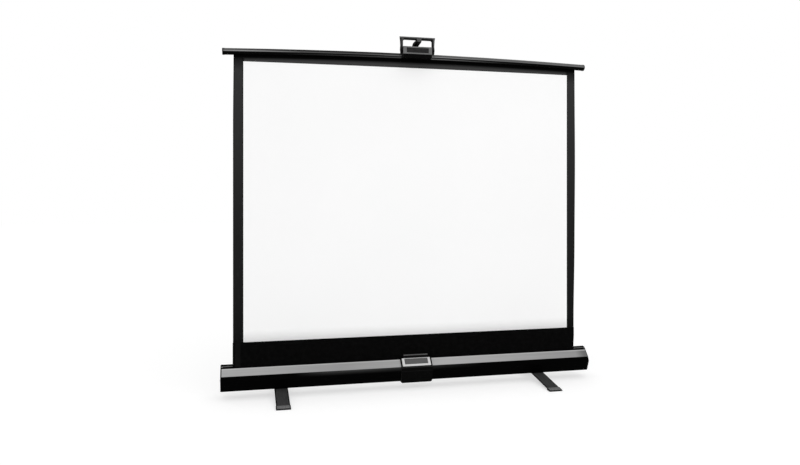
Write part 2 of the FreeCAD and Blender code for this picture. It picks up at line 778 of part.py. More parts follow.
def make_collar():
    keep("collar_front", collar_shell("collar_front", COLLAR_FRONT))
    rear = collar_shell("collar_rear", COLLAR_REAR)
    holes = [rod("boss_hole_" + side, "bracket_screw_radius + screw_hole_gap",
                 "bracket_screw_length + overrun",
                 ("mast_side %s bracket_screw_half" % sign, "mast_back",
                  "boss_height + mast_bracket_wall - bracket_screw_length"))
             for side, sign in (("left", "-"), ("right", "+"))]
    keep("collar_rear", cut("collar_rear_drilled", rear, *holes))
    screws = []
    for number, (x, y) in enumerate(COLLAR_SCREWS):
        label = "collar_screw_%d" % number
        shank = rod(label + "_shank", "collar_screw_radius", "collar_screw_length",
                    (x, y, "collar_bottom"))
        head = rod(label + "_head", "collar_screw_head", "collar_screw_drop",
                   (x, y, "collar_bottom - collar_screw_drop"))
        screws.append(fuse(label, shank, head))
    keep("collar_screws", group("collar_screws", *screws))
    inside = ("plate_width - 2 * plate_frame_side",
              "plate_height - plate_frame_low - plate_frame_top")
    inside_shift = "(plate_frame_low - plate_frame_top) / 2"
    outer = bevel_box("plate_frame_block", "plate_width", "plate_height",
                      "0", "plate_frame_rise")
    opening = bevel_box("plate_frame_opening", inside[0], inside[1],
                        "-overrun", "plate_frame_rise + overrun", inside_shift)
    keep("plate_frame", cut("plate_frame", outer, opening))
    keep("name_plate", bevel_box("name_plate", inside[0], inside[1], "0", "plate_rise",
                                 inside_shift))
    keep("collar_catch", prism("collar_catch", "YZ", [CATCH_OUTLINE], "catch_width",
                               ("handle_side", "0", "0")))


# Sheet

BOW_RADIUS = "((bar_length ^ 2 / 4 + bar_rise ^ 2) / (2 * bar_rise))"
BOW_CENTRE = "(bar_height - %s)" % BOW_RADIUS
HALF_SHEET = "(sheet_width / 2)"
HALF_WHITE = "(white_width / 2)"
BULGE_SHARES = (-1, -0.75, -0.45, -0.15, 0.15, 0.45, 0.75, 1)
BAND_ARC_SHARES = ((1, 0.75), (0.5, 0.25), (0, -0.25), (-0.5, -0.75))


def bow(below, side):
    """Height of the bar's bowed centre line, less a drop, at a distance from the middle."""
    return "%s + sqrt((%s - %s) ^ 2 - (%s) ^ 2)" % (BOW_CENTRE, BOW_RADIUS, below, side)


def make_sheet():
    hem = "hem_below"
    half_drop = "(sheet_width / 2 + drop_overlap)"
    middle = "-sheet_back"
    mask = "-sheet_back - sheet_thickness / 2 - mask_thickness / 2"
    top = [("-" + HALF_SHEET, "white_bottom"), (HALF_SHEET, "white_bottom"),
           (HALF_SHEET, bow(hem, HALF_SHEET), "0", bow(hem, "0")),
           ("-" + HALF_SHEET, bow(hem, HALF_SHEET))]
    keep("screen_sheet", prism("screen_sheet", "XZ", [top], "sheet_thickness",
                               ("0", middle, "0")))
    for side, sign in SIDES:
        inner, outer = sign + HALF_WHITE, sign + HALF_SHEET
        strip = [(inner, "white_bottom"), (outer, "white_bottom"),
                 (outer, bow(hem, HALF_SHEET)), (inner, bow(hem, HALF_WHITE))]
        keep("mask_" + side, prism("mask_" + side, "XZ", [strip], "mask_thickness",
                                   ("0", mask, "0")))
    band = [("(%s) * %s" % (share, HALF_WHITE),
             "white_top + white_bulge * (1 - (%s) ^ 2)" % share) for share in BULGE_SHARES]
    for start, middle_share in BAND_ARC_SHARES:
        corner, via = ["%s * %s" % (share, HALF_WHITE) for share in (start, middle_share)]
        band.append((corner, bow(hem, corner), via, bow(hem, via)))
    band.append(("-" + HALF_WHITE, bow(hem, HALF_WHITE)))
    keep("mask_top", prism("mask_top", "XZ", [band], "mask_thickness", ("0", mask, "0")))
    drop = [("-" + half_drop, "roller_height"), (half_drop, "roller_height"),
            (half_drop, "white_bottom"), ("-" + half_drop, "white_bottom")]
    keep("black_drop", prism("black_drop", "XZ", [drop], "sheet_thickness",
                             ("0", middle, "0")))


# Top bar

def bowed(name, outline, length):
    """Section swept along the bar's bow, as a turn about the bow's far centre."""
    body = document.addObject("PartDesign::Body", name)
    sketch = new_sketch(body, name + "_section", "YZ")
    add_outline(sketch, outline)
    reach = value("overrun")
    level = value(BOW_CENTRE)
    axis = sketch.addGeometry(Part.LineSegment(VECTOR(-reach, level, 0),
                                               VECTOR(reach, level, 0)), True)
    fix_point(sketch, axis, 1, "-overrun", BOW_CENTRE)
    fix_point(sketch, axis, 2, "overrun", BOW_CENTRE)
    turn = body.newObject("PartDesign::Revolution", name + "_turn")
    turn.Profile = sketch
    turn.ReferenceAxis = (sketch, ["Axis0"])
    turn.Midplane = True
    bind(turn, "Angle", "2 * asin(%s / %s)" % (length + " / 2", BOW_RADIUS))
    document.recompute()
    return body


def round_outline(radius, level):
    """Full circle on the sheet's plane as two arcs."""
    return [("-sheet_back", "%s - %s" % (level, radius), "-sheet_back + " + radius, level),
            ("-sheet_back", "%s + %s" % (level, radius), "-sheet_back - " + radius, level)]


def make_bar():
    bore = "(bar_radius - bar_wall)"
    gap = "(bar_slot_width / 2)"
    outer_low = "bar_height - sqrt(bar_radius ^ 2 - %s ^ 2)" % gap
    inner_low = "bar_height - sqrt(%s ^ 2 - %s ^ 2)" % (bore, gap)
    outline = [
        ("-sheet_back + " + gap, outer_low, "-sheet_back", "bar_height + bar_radius"),
        ("-sheet_back - " + gap, outer_low),
        ("-sheet_back - " + gap, inner_low, "-sheet_back", "bar_height + " + bore),
        ("-sheet_back + " + gap, inner_low),
    ]
    tube = bowed("bar_tube", outline, "bar_length")
    holes = [rod("bar_hole_" + side, "handle_screw_radius + screw_hole_gap", "2 * bar_radius",
                 ("handle_side %s handle_screw_half" % sign, "-sheet_back", "bar_height"))
             for side, sign in (("left", "-"), ("right", "+"))]
    keep("top_bar_tube", cut("top_bar_tube", tube, *holes))
    keep("hem_rod", bowed("hem_rod", round_outline("rod_radius", "(bar_height - rod_below)"),
                          "sheet_width"))
    lean = value("asin(bar_length / 2 / %s)" % BOW_RADIUS)
    plug = bore + " - fit_gap"
    corner = "tip_round * (1 - sqrt(2) / 2)"
    outline = [
        ("-tip_plug", "0"), ("-tip_plug", plug), ("0", plug), ("0", "tip_radius"),
        ("tip_length - tip_round", "tip_radius",
         "tip_length - " + corner, "tip_radius - " + corner),
        ("tip_length", "tip_radius - tip_round"), ("tip_length", "0")]
    for side, sign in SIDES:
        turn = lean if side == "right" else 2 * QUARTER_TURN - lean
        keep("bar_tip_" + side, turned("bar_tip_" + side, outline,
                                       (sign + "bar_length / 2", "-sheet_back",
                                        "bar_height - bar_rise"), (0, 1, 0), turn))


# Handle on the bar

HANDLE_MIDDLE = "(-sheet_back - handle_front + handle_depth / 2)"


def mirrored(points):
    """Right half of an outline, from its top, followed by its mirror image."""
    return points + [("-(%s)" % x, z) for x, z in reversed(points)]


def make_handle():
    under_rail = "handle_top - handle_rail"
    inside = "block_width / 2 + saddle_gap"
    loop = prism("handle_loop", "XZ", [mirrored([
        ("handle_width / 2", "handle_top"),
        ("handle_flare / 2", under_rail),
        ("handle_waist / 2", "(handle_top + block_bottom) / 2"),
        ("handle_flare / 2", "saddle_top + handle_corner"),
        ("handle_waist / 2 - saddle_gap", "handle_post_foot"),
        (inside, "handle_post_foot"),
        (inside, under_rail + " - handle_corner"),
        (inside + " - handle_corner", under_rail),
    ])], "handle_depth", ("handle_side", HANDLE_MIDDLE, "0"))
    half = value("handle_depth / 2")
    rim = rim_edges(loop, "Y", -half) + rim_edges(loop, "Y", half)
    add_feature(loop, "Fillet", "handle_loop_rim", rim, "Radius", "handle_round")
    keep("handle_loop", loop)
    block = prism("handle_block_solid", "XZ", [[
        ("-block_width / 2", "block_bottom"), ("block_width / 2", "block_bottom"),
        ("block_width / 2", "block_top"), ("-block_width / 2", "block_top")]],
        "block_depth", ("handle_side", "-sheet_back - block_front + block_depth / 2", "0"))
    add_feature(block, "Fillet", "handle_block_rim",
                rim_edges(block, "Y", value("-block_depth / 2")),
                "Radius", "block_round")
    middle = "(block_bottom + block_top) / 2"
    face = "-sheet_back - block_front"
    recess = box("handle_block_recess",
                 ("handle_side - label_width / 2", face + " - overrun",
                  middle + " - label_height / 2"),
                 ("handle_side + label_width / 2", face + " + label_sink",
                  middle + " + label_height / 2"))
    keep("handle_block", cut("handle_block", block, recess))
    keep("handle_label", box("handle_label",
                             ("handle_side - label_width / 2", face + " + label_sink"
                              " - label_thickness", middle + " - label_height / 2"),
                             ("handle_side + label_width / 2", face + " + label_sink",
                              middle + " + label_height / 2")))
    back = "-sheet_back + bar_radius"
    bracket = prism("handle_bracket_solid", "YZ", [[
        ("-sheet_back - saddle_front", "saddle_bottom"),
        ("-sheet_back - bar_radius / 2", "saddle_bottom"),
        ("-sheet_back - bar_radius / 2", "bar_height"),
        (back, "bar_height"),
        (back, "saddle_top"),
        ("-sheet_back - block_front + block_depth", "saddle_top"),
        ("-sheet_back - block_front + block_depth", "block_bottom"),
        ("-sheet_back - saddle_front", "block_bottom")]],
        "block_width", ("handle_side", "0", "0"))
    screws = []
    tools = [rod("handle_bracket_seat", "bar_radius + saddle_gap", "block_width + 2 * overrun",
                 ("handle_side - block_width / 2 - overrun", "-sheet_back", "bar_height"), "X")]
    for side, sign in (("left", "-"), ("right", "+")):
        x = "handle_side %s handle_screw_half" % sign
        tools.append(rod("handle_hole_" + side, "handle_screw_radius + screw_hole_gap",
                         "2 * bar_radius", (x, "-sheet_back", "bar_height")))
        shank_start = "bar_height + bar_radius - bar_wall"
        shank = rod("handle_shank_" + side, "handle_screw_radius",
                    "saddle_top - (%s)" % shank_start, (x, "-sheet_back", shank_start))
        head = rod("handle_head_" + side, "handle_screw_head", "handle_screw_rise",
                   (x, "-sheet_back", "saddle_top"))
        screws.append(fuse("handle_screw_" + side, shank, head))
    keep("handle_bracket", cut("handle_bracket", bracket, *tools))
    keep("handle_screws", group("handle_screws", *screws))


# Mast

def make_mast_base():
    """Bracket on the collar's boss, with the pin that the mast folds on."""
    gap = "(lower_radius + mast_bracket_gap)"
    floor = "boss_height"
    ears = prism("mast_ears", "YZ", [[
        ("-%s - mast_bracket_wall" % gap, floor),
        ("%s + mast_bracket_wall" % gap, floor),
        ("%s + mast_bracket_wall" % gap, floor + " + mast_bracket_height"),
        (gap, floor + " + mast_bracket_height"),
        (gap, floor + " + mast_bracket_wall"),
        ("-" + gap, floor + " + mast_bracket_wall"),
        ("-" + gap, floor + " + mast_bracket_height"),
        ("-%s - mast_bracket_wall" % gap, floor + " + mast_bracket_height")]],
        "mast_bracket_width", ("mast_side", "mast_back", "0"))
    base = box("mast_base",
               ("mast_side - mast_base_width / 2", "mast_back - %s - mast_bracket_wall" % gap,
                floor),
               ("mast_side + mast_base_width / 2", "mast_back + %s + mast_bracket_wall" % gap,
                floor + " + mast_bracket_wall"))
    pin_level = floor + " + pivot_pin_height"
    pin_start = "mast_back - %s - mast_bracket_wall" % gap
    pin_length = "2 * (%s + mast_bracket_wall)" % gap
    tools = [rod("mast_ear_bore", "pivot_pin_radius + fit_gap", pin_length + " + 2 * overrun",
                 ("mast_side", pin_start + " - overrun", pin_level), "Y")]
    screws = []
    for side, sign in (("left", "-"), ("right", "+")):
        x = "mast_side %s bracket_screw_half" % sign
        top = "boss_height + mast_bracket_wall"
        tools.append(rod("mast_base_hole_" + side, "bracket_screw_radius + screw_hole_gap",
                         "mast_bracket_wall + 2 * overrun",
                         (x, "mast_back", floor + " - overrun")))
        shank = rod("bracket_shank_" + side, "bracket_screw_radius", "bracket_screw_length",
                    (x, "mast_back", top + " - bracket_screw_length"))
        head = rod("bracket_head_" + side, "bracket_screw_head", "bracket_screw_rise",
                   (x, "mast_back", top))
        screws.append(fuse("bracket_screw_" + side, shank, head))
    keep("mast_bracket", cut("mast_bracket", fuse("mast_bracket_solid", ears, base), *tools))
    keep("bracket_screws", group("bracket_screws", *screws))
    pin = rod("pivot_shank", "pivot_pin_radius", pin_length,
              ("mast_side", pin_start, pin_level), "Y")
    heads = [rod("pivot_head_front", "pivot_pin_head", "pivot_head_rise",
                 ("mast_side", pin_start + " - pivot_head_rise", pin_level), "Y"),
             rod("pivot_head_rear", "pivot_pin_head", "pivot_head_rise",
                 ("mast_side", pin_start + " + " + pin_length, pin_level), "Y")]
    keep("mast_pivot_pin", fuse("mast_pivot_pin", pin, *heads))


def mast_axis(level):
    return ("mast_side", "mast_back", level)


def make_mast_tubes():
    lower = pipe("lower_pipe", "lower_radius", "lower_radius - tube_wall",
                 "lower_top - lower_start", mast_axis("lower_start"))
    bore = rod("lower_pin_bore", "pivot_pin_radius + fit_gap", "4 * lower_radius",
               ("mast_side", "mast_back - 2 * lower_radius", "boss_height + pivot_pin_height"),
               "Y")
    keep("mast_lower_tube", cut("mast_lower_tube", lower, bore))
    keep("mast_middle_tube", pipe("mast_middle_tube", "middle_radius",
                                  "middle_radius - tube_wall", "middle_top - middle_start",
                                  mast_axis("middle_start")))
    keep("mast_upper_tube", pipe("mast_upper_tube", "upper_radius", "upper_radius - tube_wall",
                                 "upper_top - upper_start", mast_axis("upper_start")))
    for name, outer, inner, top in (("lower_bushing", "lower_radius", "middle_radius",
                                     "lower_top"),
                                    ("upper_bushing", "middle_radius", "upper_radius",
                                     "middle_top")):
        sleeve = rod(name + "_sleeve", outer + " - tube_wall - fit_gap", "bush_depth",
                     mast_axis(top + " - bush_depth"))
        flange = rod(name + "_flange", outer, "bush_flange", mast_axis(top))
        bore = rod(name + "_bore", inner + " + slide_gap",
                   "bush_depth + bush_flange + 2 * overrun",
                   mast_axis(top + " - bush_depth - overrun"))
        keep(name, cut(name, fuse(name + "_solid", sleeve, flange), bore))
    for name, outer, inner, start in (("middle_slide_plug", "lower_radius", "middle_radius",
                                       "middle_start"),
                                      ("upper_slide_plug", "middle_radius", "upper_radius",
                                       "upper_start")):
        skirt = rod(name + "_skirt", outer + " - tube_wall - slide_gap", "slide_plug_skirt",
                    mast_axis(start + " - slide_plug_skirt"))
        spigot = rod(name + "_spigot", inner + " - tube_wall - fit_gap", "slide_plug_depth",
                     mast_axis(start))
        keep(name, fuse(name, skirt, spigot))


def make_clamps():
    """Two split clamp rings on the mast, each closed by a lever on a cross pin."""
    for name, tube, top in (("lower", "lower_radius", "lower_top"),
                            ("upper", "middle_radius", "middle_top")):
        low = "(%s - clamp_drop - clamp_height)" % top
        middle = "(%s + clamp_height / 2)" % low
        pin_y = "(mast_back + %s + clamp_wall + lever_pin_out)" % tube
        ring = rod(name + "_ring", tube + " + clamp_wall", "clamp_height", mast_axis(low))
        ear = box(name + "_ears",
                  ("mast_side - clamp_ear_half", "mast_back", middle + " - clamp_ear_height / 2"),
                  ("mast_side + clamp_ear_half", pin_y + " + clamp_ear_past_pin",
                   middle + " + clamp_ear_height / 2"))
        bore = rod(name + "_clamp_bore", tube + " + fit_gap", "clamp_height + 2 * overrun",
                   mast_axis(low + " - overrun"))
        split = box(name + "_split",
                    ("mast_side - clamp_split / 2", "mast_back", low + " - overrun"),
                    ("mast_side + clamp_split / 2", pin_y + " + clamp_ear_past_pin + overrun",
                     low + " + clamp_height + overrun"))
        reach = "(clamp_ear_half + lever_cheek_gap + lever_cheek + lever_pin_past)"
        pin_hole = rod(name + "_pin_hole", "lever_pin_radius + fit_gap", "2 * " + reach,
                       ("mast_side - " + reach, pin_y, middle), "X")
        keep(name + "_clamp", cut(name + "_clamp", fuse(name + "_clamp_solid", ring, ear),
                                  bore, split, pin_hole))
        keep(name + "_lever_pin", rod(name + "_lever_pin", "lever_pin_radius", "2 * " + reach,
                                      ("mast_side - " + reach, pin_y, middle), "X"))
        parts = []
        for side, sign in (("left", "-"), ("right", "+")):
            inner = "(clamp_ear_half + lever_cheek_gap)"
            x = "mast_side %s %s" % (sign, inner)
            low_x = x + " - lever_cheek" if side == "left" else x
            parts.append(rod("%s_boss_%s" % (name, side), "lever_boss_radius", "lever_cheek",
                             (low_x, pin_y, middle), "X"))
            parts.append(box("%s_arm_%s" % (name, side),
                             (low_x, pin_y, middle + " - lever_boss_radius"),
                             (low_x + " + lever_cheek",
                              pin_y + " + lever_plate_out + lever_plate",
                              middle + " + lever_boss_radius")))
        span = "(clamp_ear_half + lever_cheek_gap + lever_cheek)"
        parts.append(box(name + "_plate",
                         ("mast_side - " + span, pin_y + " + lever_plate_out",
                          middle + " - lever_length"),
                         ("mast_side + " + span, pin_y + " + lever_plate_out + lever_plate",
                          middle + " + lever_boss_radius")))
        hole = rod(name + "_lever_bore", "lever_pin_radius + shaft_gap",
                   "2 * %s + 2 * overrun" % reach,
                   ("mast_side - %s - overrun" % reach, pin_y, middle), "X")
        keep(name + "_clamp_lever", cut(name + "_clamp_lever",
                                        fuse(name + "_lever_solid", *parts), hole))


def make_head():
    """Gooseneck that reaches forward over the bar and holds the rail in a saddle."""
    rail_back = "(-sheet_back - handle_front + handle_depth + saddle_clearance)"
    rail_front = "(-sheet_back - handle_front - saddle_clearance)"
    front = "mast_back - head_stem_half"
    rear = "mast_back + head_stem_half"
    neck = prism("neck", "YZ", [[
        (front, "head_stem_start"),
        (front, "head_bend_start", front + " - neck_bend_over",
         "head_bend_start + neck_bend_under_share * (neck_under - head_bend_start)"),
        ("-neck_bend_front", "neck_under"),
        (rail_front, "neck_tip_under"),
        (rail_front, "rail_floor"),
        (rail_back, "rail_floor"),
        (rail_back, "head_wall_top"),
        (rail_back + " + head_wall", "head_wall_top"),
        (rail_back + " + 2 * head_wall", "neck_over"),
        ("-neck_bend_over", "neck_over", rear + " - 2 * neck_bend_over",
         "neck_over - neck_bend_over_share * (neck_over - head_bend_start)"),
        (rear, "head_bend_start"),
        (rear, "head_stem_start")]],
        "head_width", ("mast_side", "0", "0"))
    half = value("head_width / 2")
    add_feature(neck, "Fillet", "neck_rim",
                rim_edges(neck, "X", -half) + rim_edges(neck, "X", half),
                "Radius", "head_round")
    lip = prism("lip", "XZ", [[
        ("-lip_bottom_width / 2", "lip_bottom"), ("lip_bottom_width / 2", "lip_bottom"),
        ("lip_top_width / 2", "lip_top"), ("-lip_top_width / 2", "lip_top")]],
        "lip_thickness", ("mast_side", rail_front + " - lip_thickness / 2", "0"))
    socket = rod("head_socket", "head_socket_radius", "head_bend_start - head_socket_start",
                 mast_axis("head_socket_start"))
    bore = rod("head_bore", "upper_radius + fit_gap", "upper_top - head_socket_start + overrun",
               mast_axis("head_socket_start - overrun"))
    keep("mast_head", cut("mast_head", fuse("mast_head_solid", neck, lip, socket), bore))


# Feet

def make_feet():
    bolts, washers, nuts = [], [], []
    bar_end = "(foot_reach - foot_end_gap)"
    slope = "(foot_top - foot_tip_top) / (%s - foot_flat_half)" % bar_end
    cap_start = "(foot_reach - tip_cap_depth)"
    cap_high = "foot_tip_top + (%s - %s) * %s + tip_cap_wall" % (bar_end, cap_start, slope)
    for side, sign in SIDES:
        x = sign + "foot_side"
        strip = prism("foot_strip_" + side, "YZ", [[
            ("-" + bar_end, "foot_tip_top"), ("-foot_flat_half", "foot_top"),
            ("foot_flat_half", "foot_top"), (bar_end, "foot_tip_top"),
            (bar_end, "foot_tip_top - foot_thickness"),
            ("foot_flat_half", "foot_top - foot_thickness"),
            ("-foot_flat_half", "foot_top - foot_thickness"),
            ("-" + bar_end, "foot_tip_top - foot_thickness")]],
            "foot_width", (x, "0", "0"))
        hole = rod("foot_hole_" + side, "foot_bolt_radius + shaft_gap", "foot_top + overrun",
                   (x, "0", "0"))
        keep("foot_bar_" + side, cut("foot_bar_" + side, strip, hole))
        tips, pads = [], []
        for front, mark in (("front", "-"), ("rear", "")):
            label = "%s_%s" % (side, front)
            cap = prism("foot_tip_block_" + label, "YZ", [[
                (mark + cap_start, cap_high),
                (mark + bar_end, "foot_tip_top + tip_cap_wall"),
                (mark + "foot_reach", "tip_nose_height"),
                (mark + "foot_reach", "pad_thickness"),
                (mark + cap_start, "pad_thickness")]],
                "foot_width + 2 * tip_cap_wall", (x, "0", "0"))
            tips.append(cut("foot_tip_" + label, cap, strip))
            pad_out = "foot_reach - pad_inset"
            pad_in = "foot_reach - pad_inset - pad_length"
            low, high = (("-(%s)" % pad_out, "-(%s)" % pad_in) if mark else (pad_in, pad_out))
            pads.append(box("foot_pad_" + label,
                            (x + " - foot_width / 2 + pad_side_inset", low, "0"),
                            (x + " + foot_width / 2 - pad_side_inset", high,
                             "pad_thickness")))
        keep("foot_tips_" + side, group("foot_tips_" + side, *tips))
        keep("foot_pads_" + side, group("foot_pads_" + side, *pads))
        under = "foot_top - foot_thickness - foot_bolt_gap - foot_bolt_head_height"
        inside = "case_bottom + case_wall"
        shank = rod("foot_shank_" + side, "foot_bolt_radius",
                    inside + " + foot_nut_height - (%s)" % under, (x, "0", under))
        head = rod("foot_bolt_head_" + side, "foot_bolt_head", "foot_bolt_head_height",
                   (x, "0", under))
        bolts.append(fuse("foot_bolt_" + side, shank, head))
        washers.append(pipe("foot_washer_" + side, "foot_washer_radius",
                            "foot_bolt_radius + fit_gap", "foot_washer_thickness",
                            (x, "0", "foot_top")))
        nut = document.addObject("Part::Prism", "foot_nut_block_" + side)
        bind(nut, "Circumradius", "foot_nut_radius")
        bind(nut, "Height", "foot_nut_height")
        place(nut, (x, "0", inside))
        thread = rod("foot_thread_" + side, "foot_bolt_radius + fit_gap",
                     "foot_nut_height + 2 * overrun", (x, "0", inside + " - overrun"))
        nuts.append(cut("foot_nut_" + side, nut, thread))
    keep("foot_bolts", group("foot_bolts", *bolts))
    keep("foot_washers", group("foot_washers", *washers))
    keep("foot_nuts", group("foot_nuts", *nuts))


def check_and_write():
    """Stop on any failed object or bad shape, then write one file for each node."""
    document.recompute()
    for piece in document.Objects:
        if "Invalid" in piece.State or "Error" in piece.State:
            raise RuntimeError("%s failed: %s" % (piece.Label, piece.State))
    for name, piece in NODES.items():
        shape = piece.Shape
        if shape.isNull() or not shape.isValid() or not shape.Solids:
            raise RuntimeError("%s has no good solid" % name)
    os.makedirs("parts", exist_ok=True)
    for name, piece in NODES.items():
        piece.Shape.exportStep("parts/%s.step" % name)
        print(name, len(piece.Shape.Solids), round(piece.Shape.Volume), piece.Shape.BoundBox)


make_case()
make_caps()
make_roller()
make_collar()
make_sheet()
make_bar()
make_handle()
make_mast_base()
make_mast_tubes()
make_clamps()
make_head()
make_feet()
check_and_write()
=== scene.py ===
"""Looks of the floor-standing projection screen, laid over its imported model."""
import json
import math

import bmesh
import bpy
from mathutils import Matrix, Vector


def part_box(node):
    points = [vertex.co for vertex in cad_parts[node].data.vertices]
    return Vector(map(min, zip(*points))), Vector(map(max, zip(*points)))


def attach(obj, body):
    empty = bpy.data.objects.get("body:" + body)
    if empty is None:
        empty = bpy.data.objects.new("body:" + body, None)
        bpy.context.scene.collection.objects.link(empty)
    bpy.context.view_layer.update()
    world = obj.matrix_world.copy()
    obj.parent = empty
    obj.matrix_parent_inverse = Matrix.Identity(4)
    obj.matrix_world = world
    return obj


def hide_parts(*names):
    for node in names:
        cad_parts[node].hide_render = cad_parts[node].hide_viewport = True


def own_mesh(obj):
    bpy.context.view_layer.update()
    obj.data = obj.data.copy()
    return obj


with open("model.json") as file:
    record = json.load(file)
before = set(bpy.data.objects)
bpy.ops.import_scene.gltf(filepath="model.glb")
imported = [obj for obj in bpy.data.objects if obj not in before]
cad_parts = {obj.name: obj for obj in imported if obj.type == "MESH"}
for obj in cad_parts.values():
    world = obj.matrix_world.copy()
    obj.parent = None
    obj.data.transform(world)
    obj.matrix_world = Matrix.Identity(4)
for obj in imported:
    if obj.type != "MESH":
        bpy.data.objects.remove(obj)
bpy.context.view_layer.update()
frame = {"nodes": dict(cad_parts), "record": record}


# Lengths are in metres.
PRINT_INSET = 0.0024         # how far the side borders' print runs over the white field
PRINT_DROP = 0.0036          # and that of the top border
CATCH_LIP_HEIGHT = 0.0042    # the grey lip painted along the top of the catch as the highlight of its top edge

SHEET_LOW, SHEET_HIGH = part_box("screen_sheet")
DROP_LOW, DROP_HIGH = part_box("black_drop")
FOOT_LOW, FOOT_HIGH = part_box("foot_bar_right")
FOOT_LINE = (FOOT_LOW.x + FOOT_HIGH.x) / 2
FOOT_HALF = (FOOT_HIGH.x - FOOT_LOW.x) / 2
CATCH_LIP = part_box("collar_catch")[1].z - CATCH_LIP_HEIGHT
FIELD_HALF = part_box("mask_right")[0].x - PRINT_INSET
FIELD_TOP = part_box("mask_top")[0].z - PRINT_DROP
FIELD_BULGE = 0.0024    # how much higher the field's upper edge is in the middle
TOP_SAG = 0.0120        # how much lower the bowed cloth's upper edge is at its ends

# The cloth's grid: columns on each side of the middle, places across a border, and rows
FIELD_COLUMNS = 20
BORDER_SHARES = (0.15, 0.5, 0.85, 1.0)
FIELD_ROWS = 24
BORDER_ROWS = 3
DROP_ROWS = 8

# The cloth's material slots
FIELD, BORDER, BACKING = 0, 1, 2

# How far the cloth's side edges stand out or in, after the photo, and at which heights
RIGHT_BELLY, BELLY_HEIGHT, BELLY_SPREAD = 0.0026, 1.02, 0.27
RIGHT_NARROWING, RIGHT_NARROWS = 0.0046, (0.62, 0.27)
LEFT_OUT, LEFT_NARROWING, LEFT_NARROWS = 0.0030, 0.0022, (1.15, 1.47)
DROP_LEFT_OUT, DROP_RIGHT_OUT = 0.0024, -0.0052
DROP_NARROWING, DROP_NARROWS = 0.0022, (0.20, 0.15)

# Where on the object a tone lies, its own or painted light and shade: depths, heights or places
# along it
HALF_LENGTH = 0.84
FRONT_FACES = (-0.040, -0.046)
COLLAR_UNDER_PLATE = (0.0965, 0.1010)
COLLAR_WAIST = (0.0812, 0.0836)
BAND_DEPTH = (-0.0219, -0.0229)
BAND_HEIGHT = (0.1004, 0.1278)
BAND_LIP = (0.1245, 0.1282)
BAND_ENDS = (0.8379, 0.8367)
# The painted highlight on the shoulder under the band: its heights and its place along the case
SHOULDER_HIGHLIGHT_HEIGHT = (0.0800, 0.1003)
SHOULDER_HIGHLIGHT_LEFT = (-0.53, -0.39)
SHOULDER_HIGHLIGHT_RIGHT = (-0.25, 0.32)
# The painted highlight line along the case's top edge
CASE_TOP_DEPTH = (-0.0090, -0.0096)
CASE_TOP_EDGE = (0.1330, 0.1368)
BAR_ENDS = (0.8290, 0.8310)
HANDLE_RAIL = (1.5568, 1.5592)
HANDLE_LEFT_POST = (-0.0680, -0.0570)
HANDLE_LEFT_FALL = (1.510, 1.532)
HANDLE_RIGHT_POST = (0.0765, 0.0835)
HANDLE_RIGHT_FALL = (1.506, 1.526)
HEAD_LIP = (-0.0606, -0.0612)
FOOT_RIM = (0.0037, 0.0060)
TIP_RIM = (0.0013, 0.0035)
TIP_END = (0.2268, 0.2248)
BORDER_HEIGHT = (0.23, 1.47)
BORDER_HEM = (0.7848, 0.7862)
BORDER_INNER_LINE = (0.7460, 0.7515)
TOP_SHADE = (1.4600, 1.4470)
CORNER_SHADE = (1.4620, 1.4050)
CORNER_PLACE = (0.740, 0.750)
DROP_STRIPE = (-0.7820, -0.7600)

# The bar's light lines, by how far its round side faces up: 0 is straight down, 1 straight up
BAR_MAIN_LINE = (0.485, 0.63)
BAR_UPPER_LINE = (0.67, 0.93)
BAR_LOWER_LINE = (0.17, 0.29)

# The room's strength as light and as seen, and the floor's tone and glow where it is seen
ROOM_LIGHT = 0.88
ROOM_SEEN = 1.0
FLOOR_SEEN_TONE = 0.5
FLOOR_SEEN_GLOW = 0.57


# Small helpers for the node materials

def new_material(name, gloss, rough=0.5, metallic=0.0):
    """A principled material with the finish numbers that are the same all over it."""
    material = bpy.data.materials.new(name)
    material.use_nodes = True
    shader = material.node_tree.nodes["Principled BSDF"]
    shader.inputs["Specular IOR Level"].default_value = gloss
    shader.inputs["Roughness"].default_value = rough
    shader.inputs["Metallic"].default_value = metallic
    return material, material.node_tree, shader


def add(tree, kind, inputs=None, **settings):
    """A shader node with its settings, inputs given as numbers or as sockets to link."""
    made = tree.nodes.new("ShaderNode" + kind)
    for name, setting in settings.items():
        setattr(made, name, setting)
    for name, given in (inputs or {}).items():
        if isinstance(given, bpy.types.NodeSocket):
            tree.links.new(given, made.inputs[name])
        else:
            made.inputs[name].default_value = given
    return made


def place_of(tree):
    return add(tree, "TexCoord").outputs["Object"]


def math_of(tree, operation, first, second=0.0):
    return add(tree, "Math", {0: first, 1: second}, operation=operation).outputs[0]


def axes_of(tree, vector):
    return add(tree, "SeparateXYZ", {"Vector": vector}).outputs


def speckle(tree, vector, scale, detail=2.0, rough=0.5):
    """Noise from 0 to 1, scale being lumps per metre."""
    made = add(tree, "TexNoise", {"Vector": vector, "Scale": scale, "Detail": detail,
                                  "Roughness": rough})
    return made.outputs["Fac"]


def drawn_out(tree, place, scales, detail=3.0, rough=0.7):
    """The same with its own number of lumps per metre along each axis."""
    spread = add(tree, "Mapping", {"Vector": place, "Scale": scales}).outputs["Vector"]
    return speckle(tree, spread, 1.0, detail, rough)


def ramp(tree, factor, stops):
    """A grey ramp over a rising list of (place, tone)."""
    made = add(tree, "ValToRGB", {"Fac": factor})
    points = made.color_ramp.elements
    points.remove(points[1])
    points[0].position = stops[0][0]
    for at, tone in stops[1:]:
        points.new(at)
    for point, (at, tone) in zip(points, stops):
        point.color = (tone, tone, tone, 1)
    return made.outputs["Color"]


def mixed(tree, factor, first, second, blend="MIX"):
    made = add(tree, "Mix", data_type="RGBA", blend_type=blend)
    for index, given in ((0, factor), (6, first), (7, second)):
        if isinstance(given, bpy.types.NodeSocket):
            tree.links.new(given, made.inputs[index])
        elif index == 0:
            made.inputs[index].default_value = given
        else:
            made.inputs[index].default_value = (given, given, given, 1)
    return made.outputs[2]


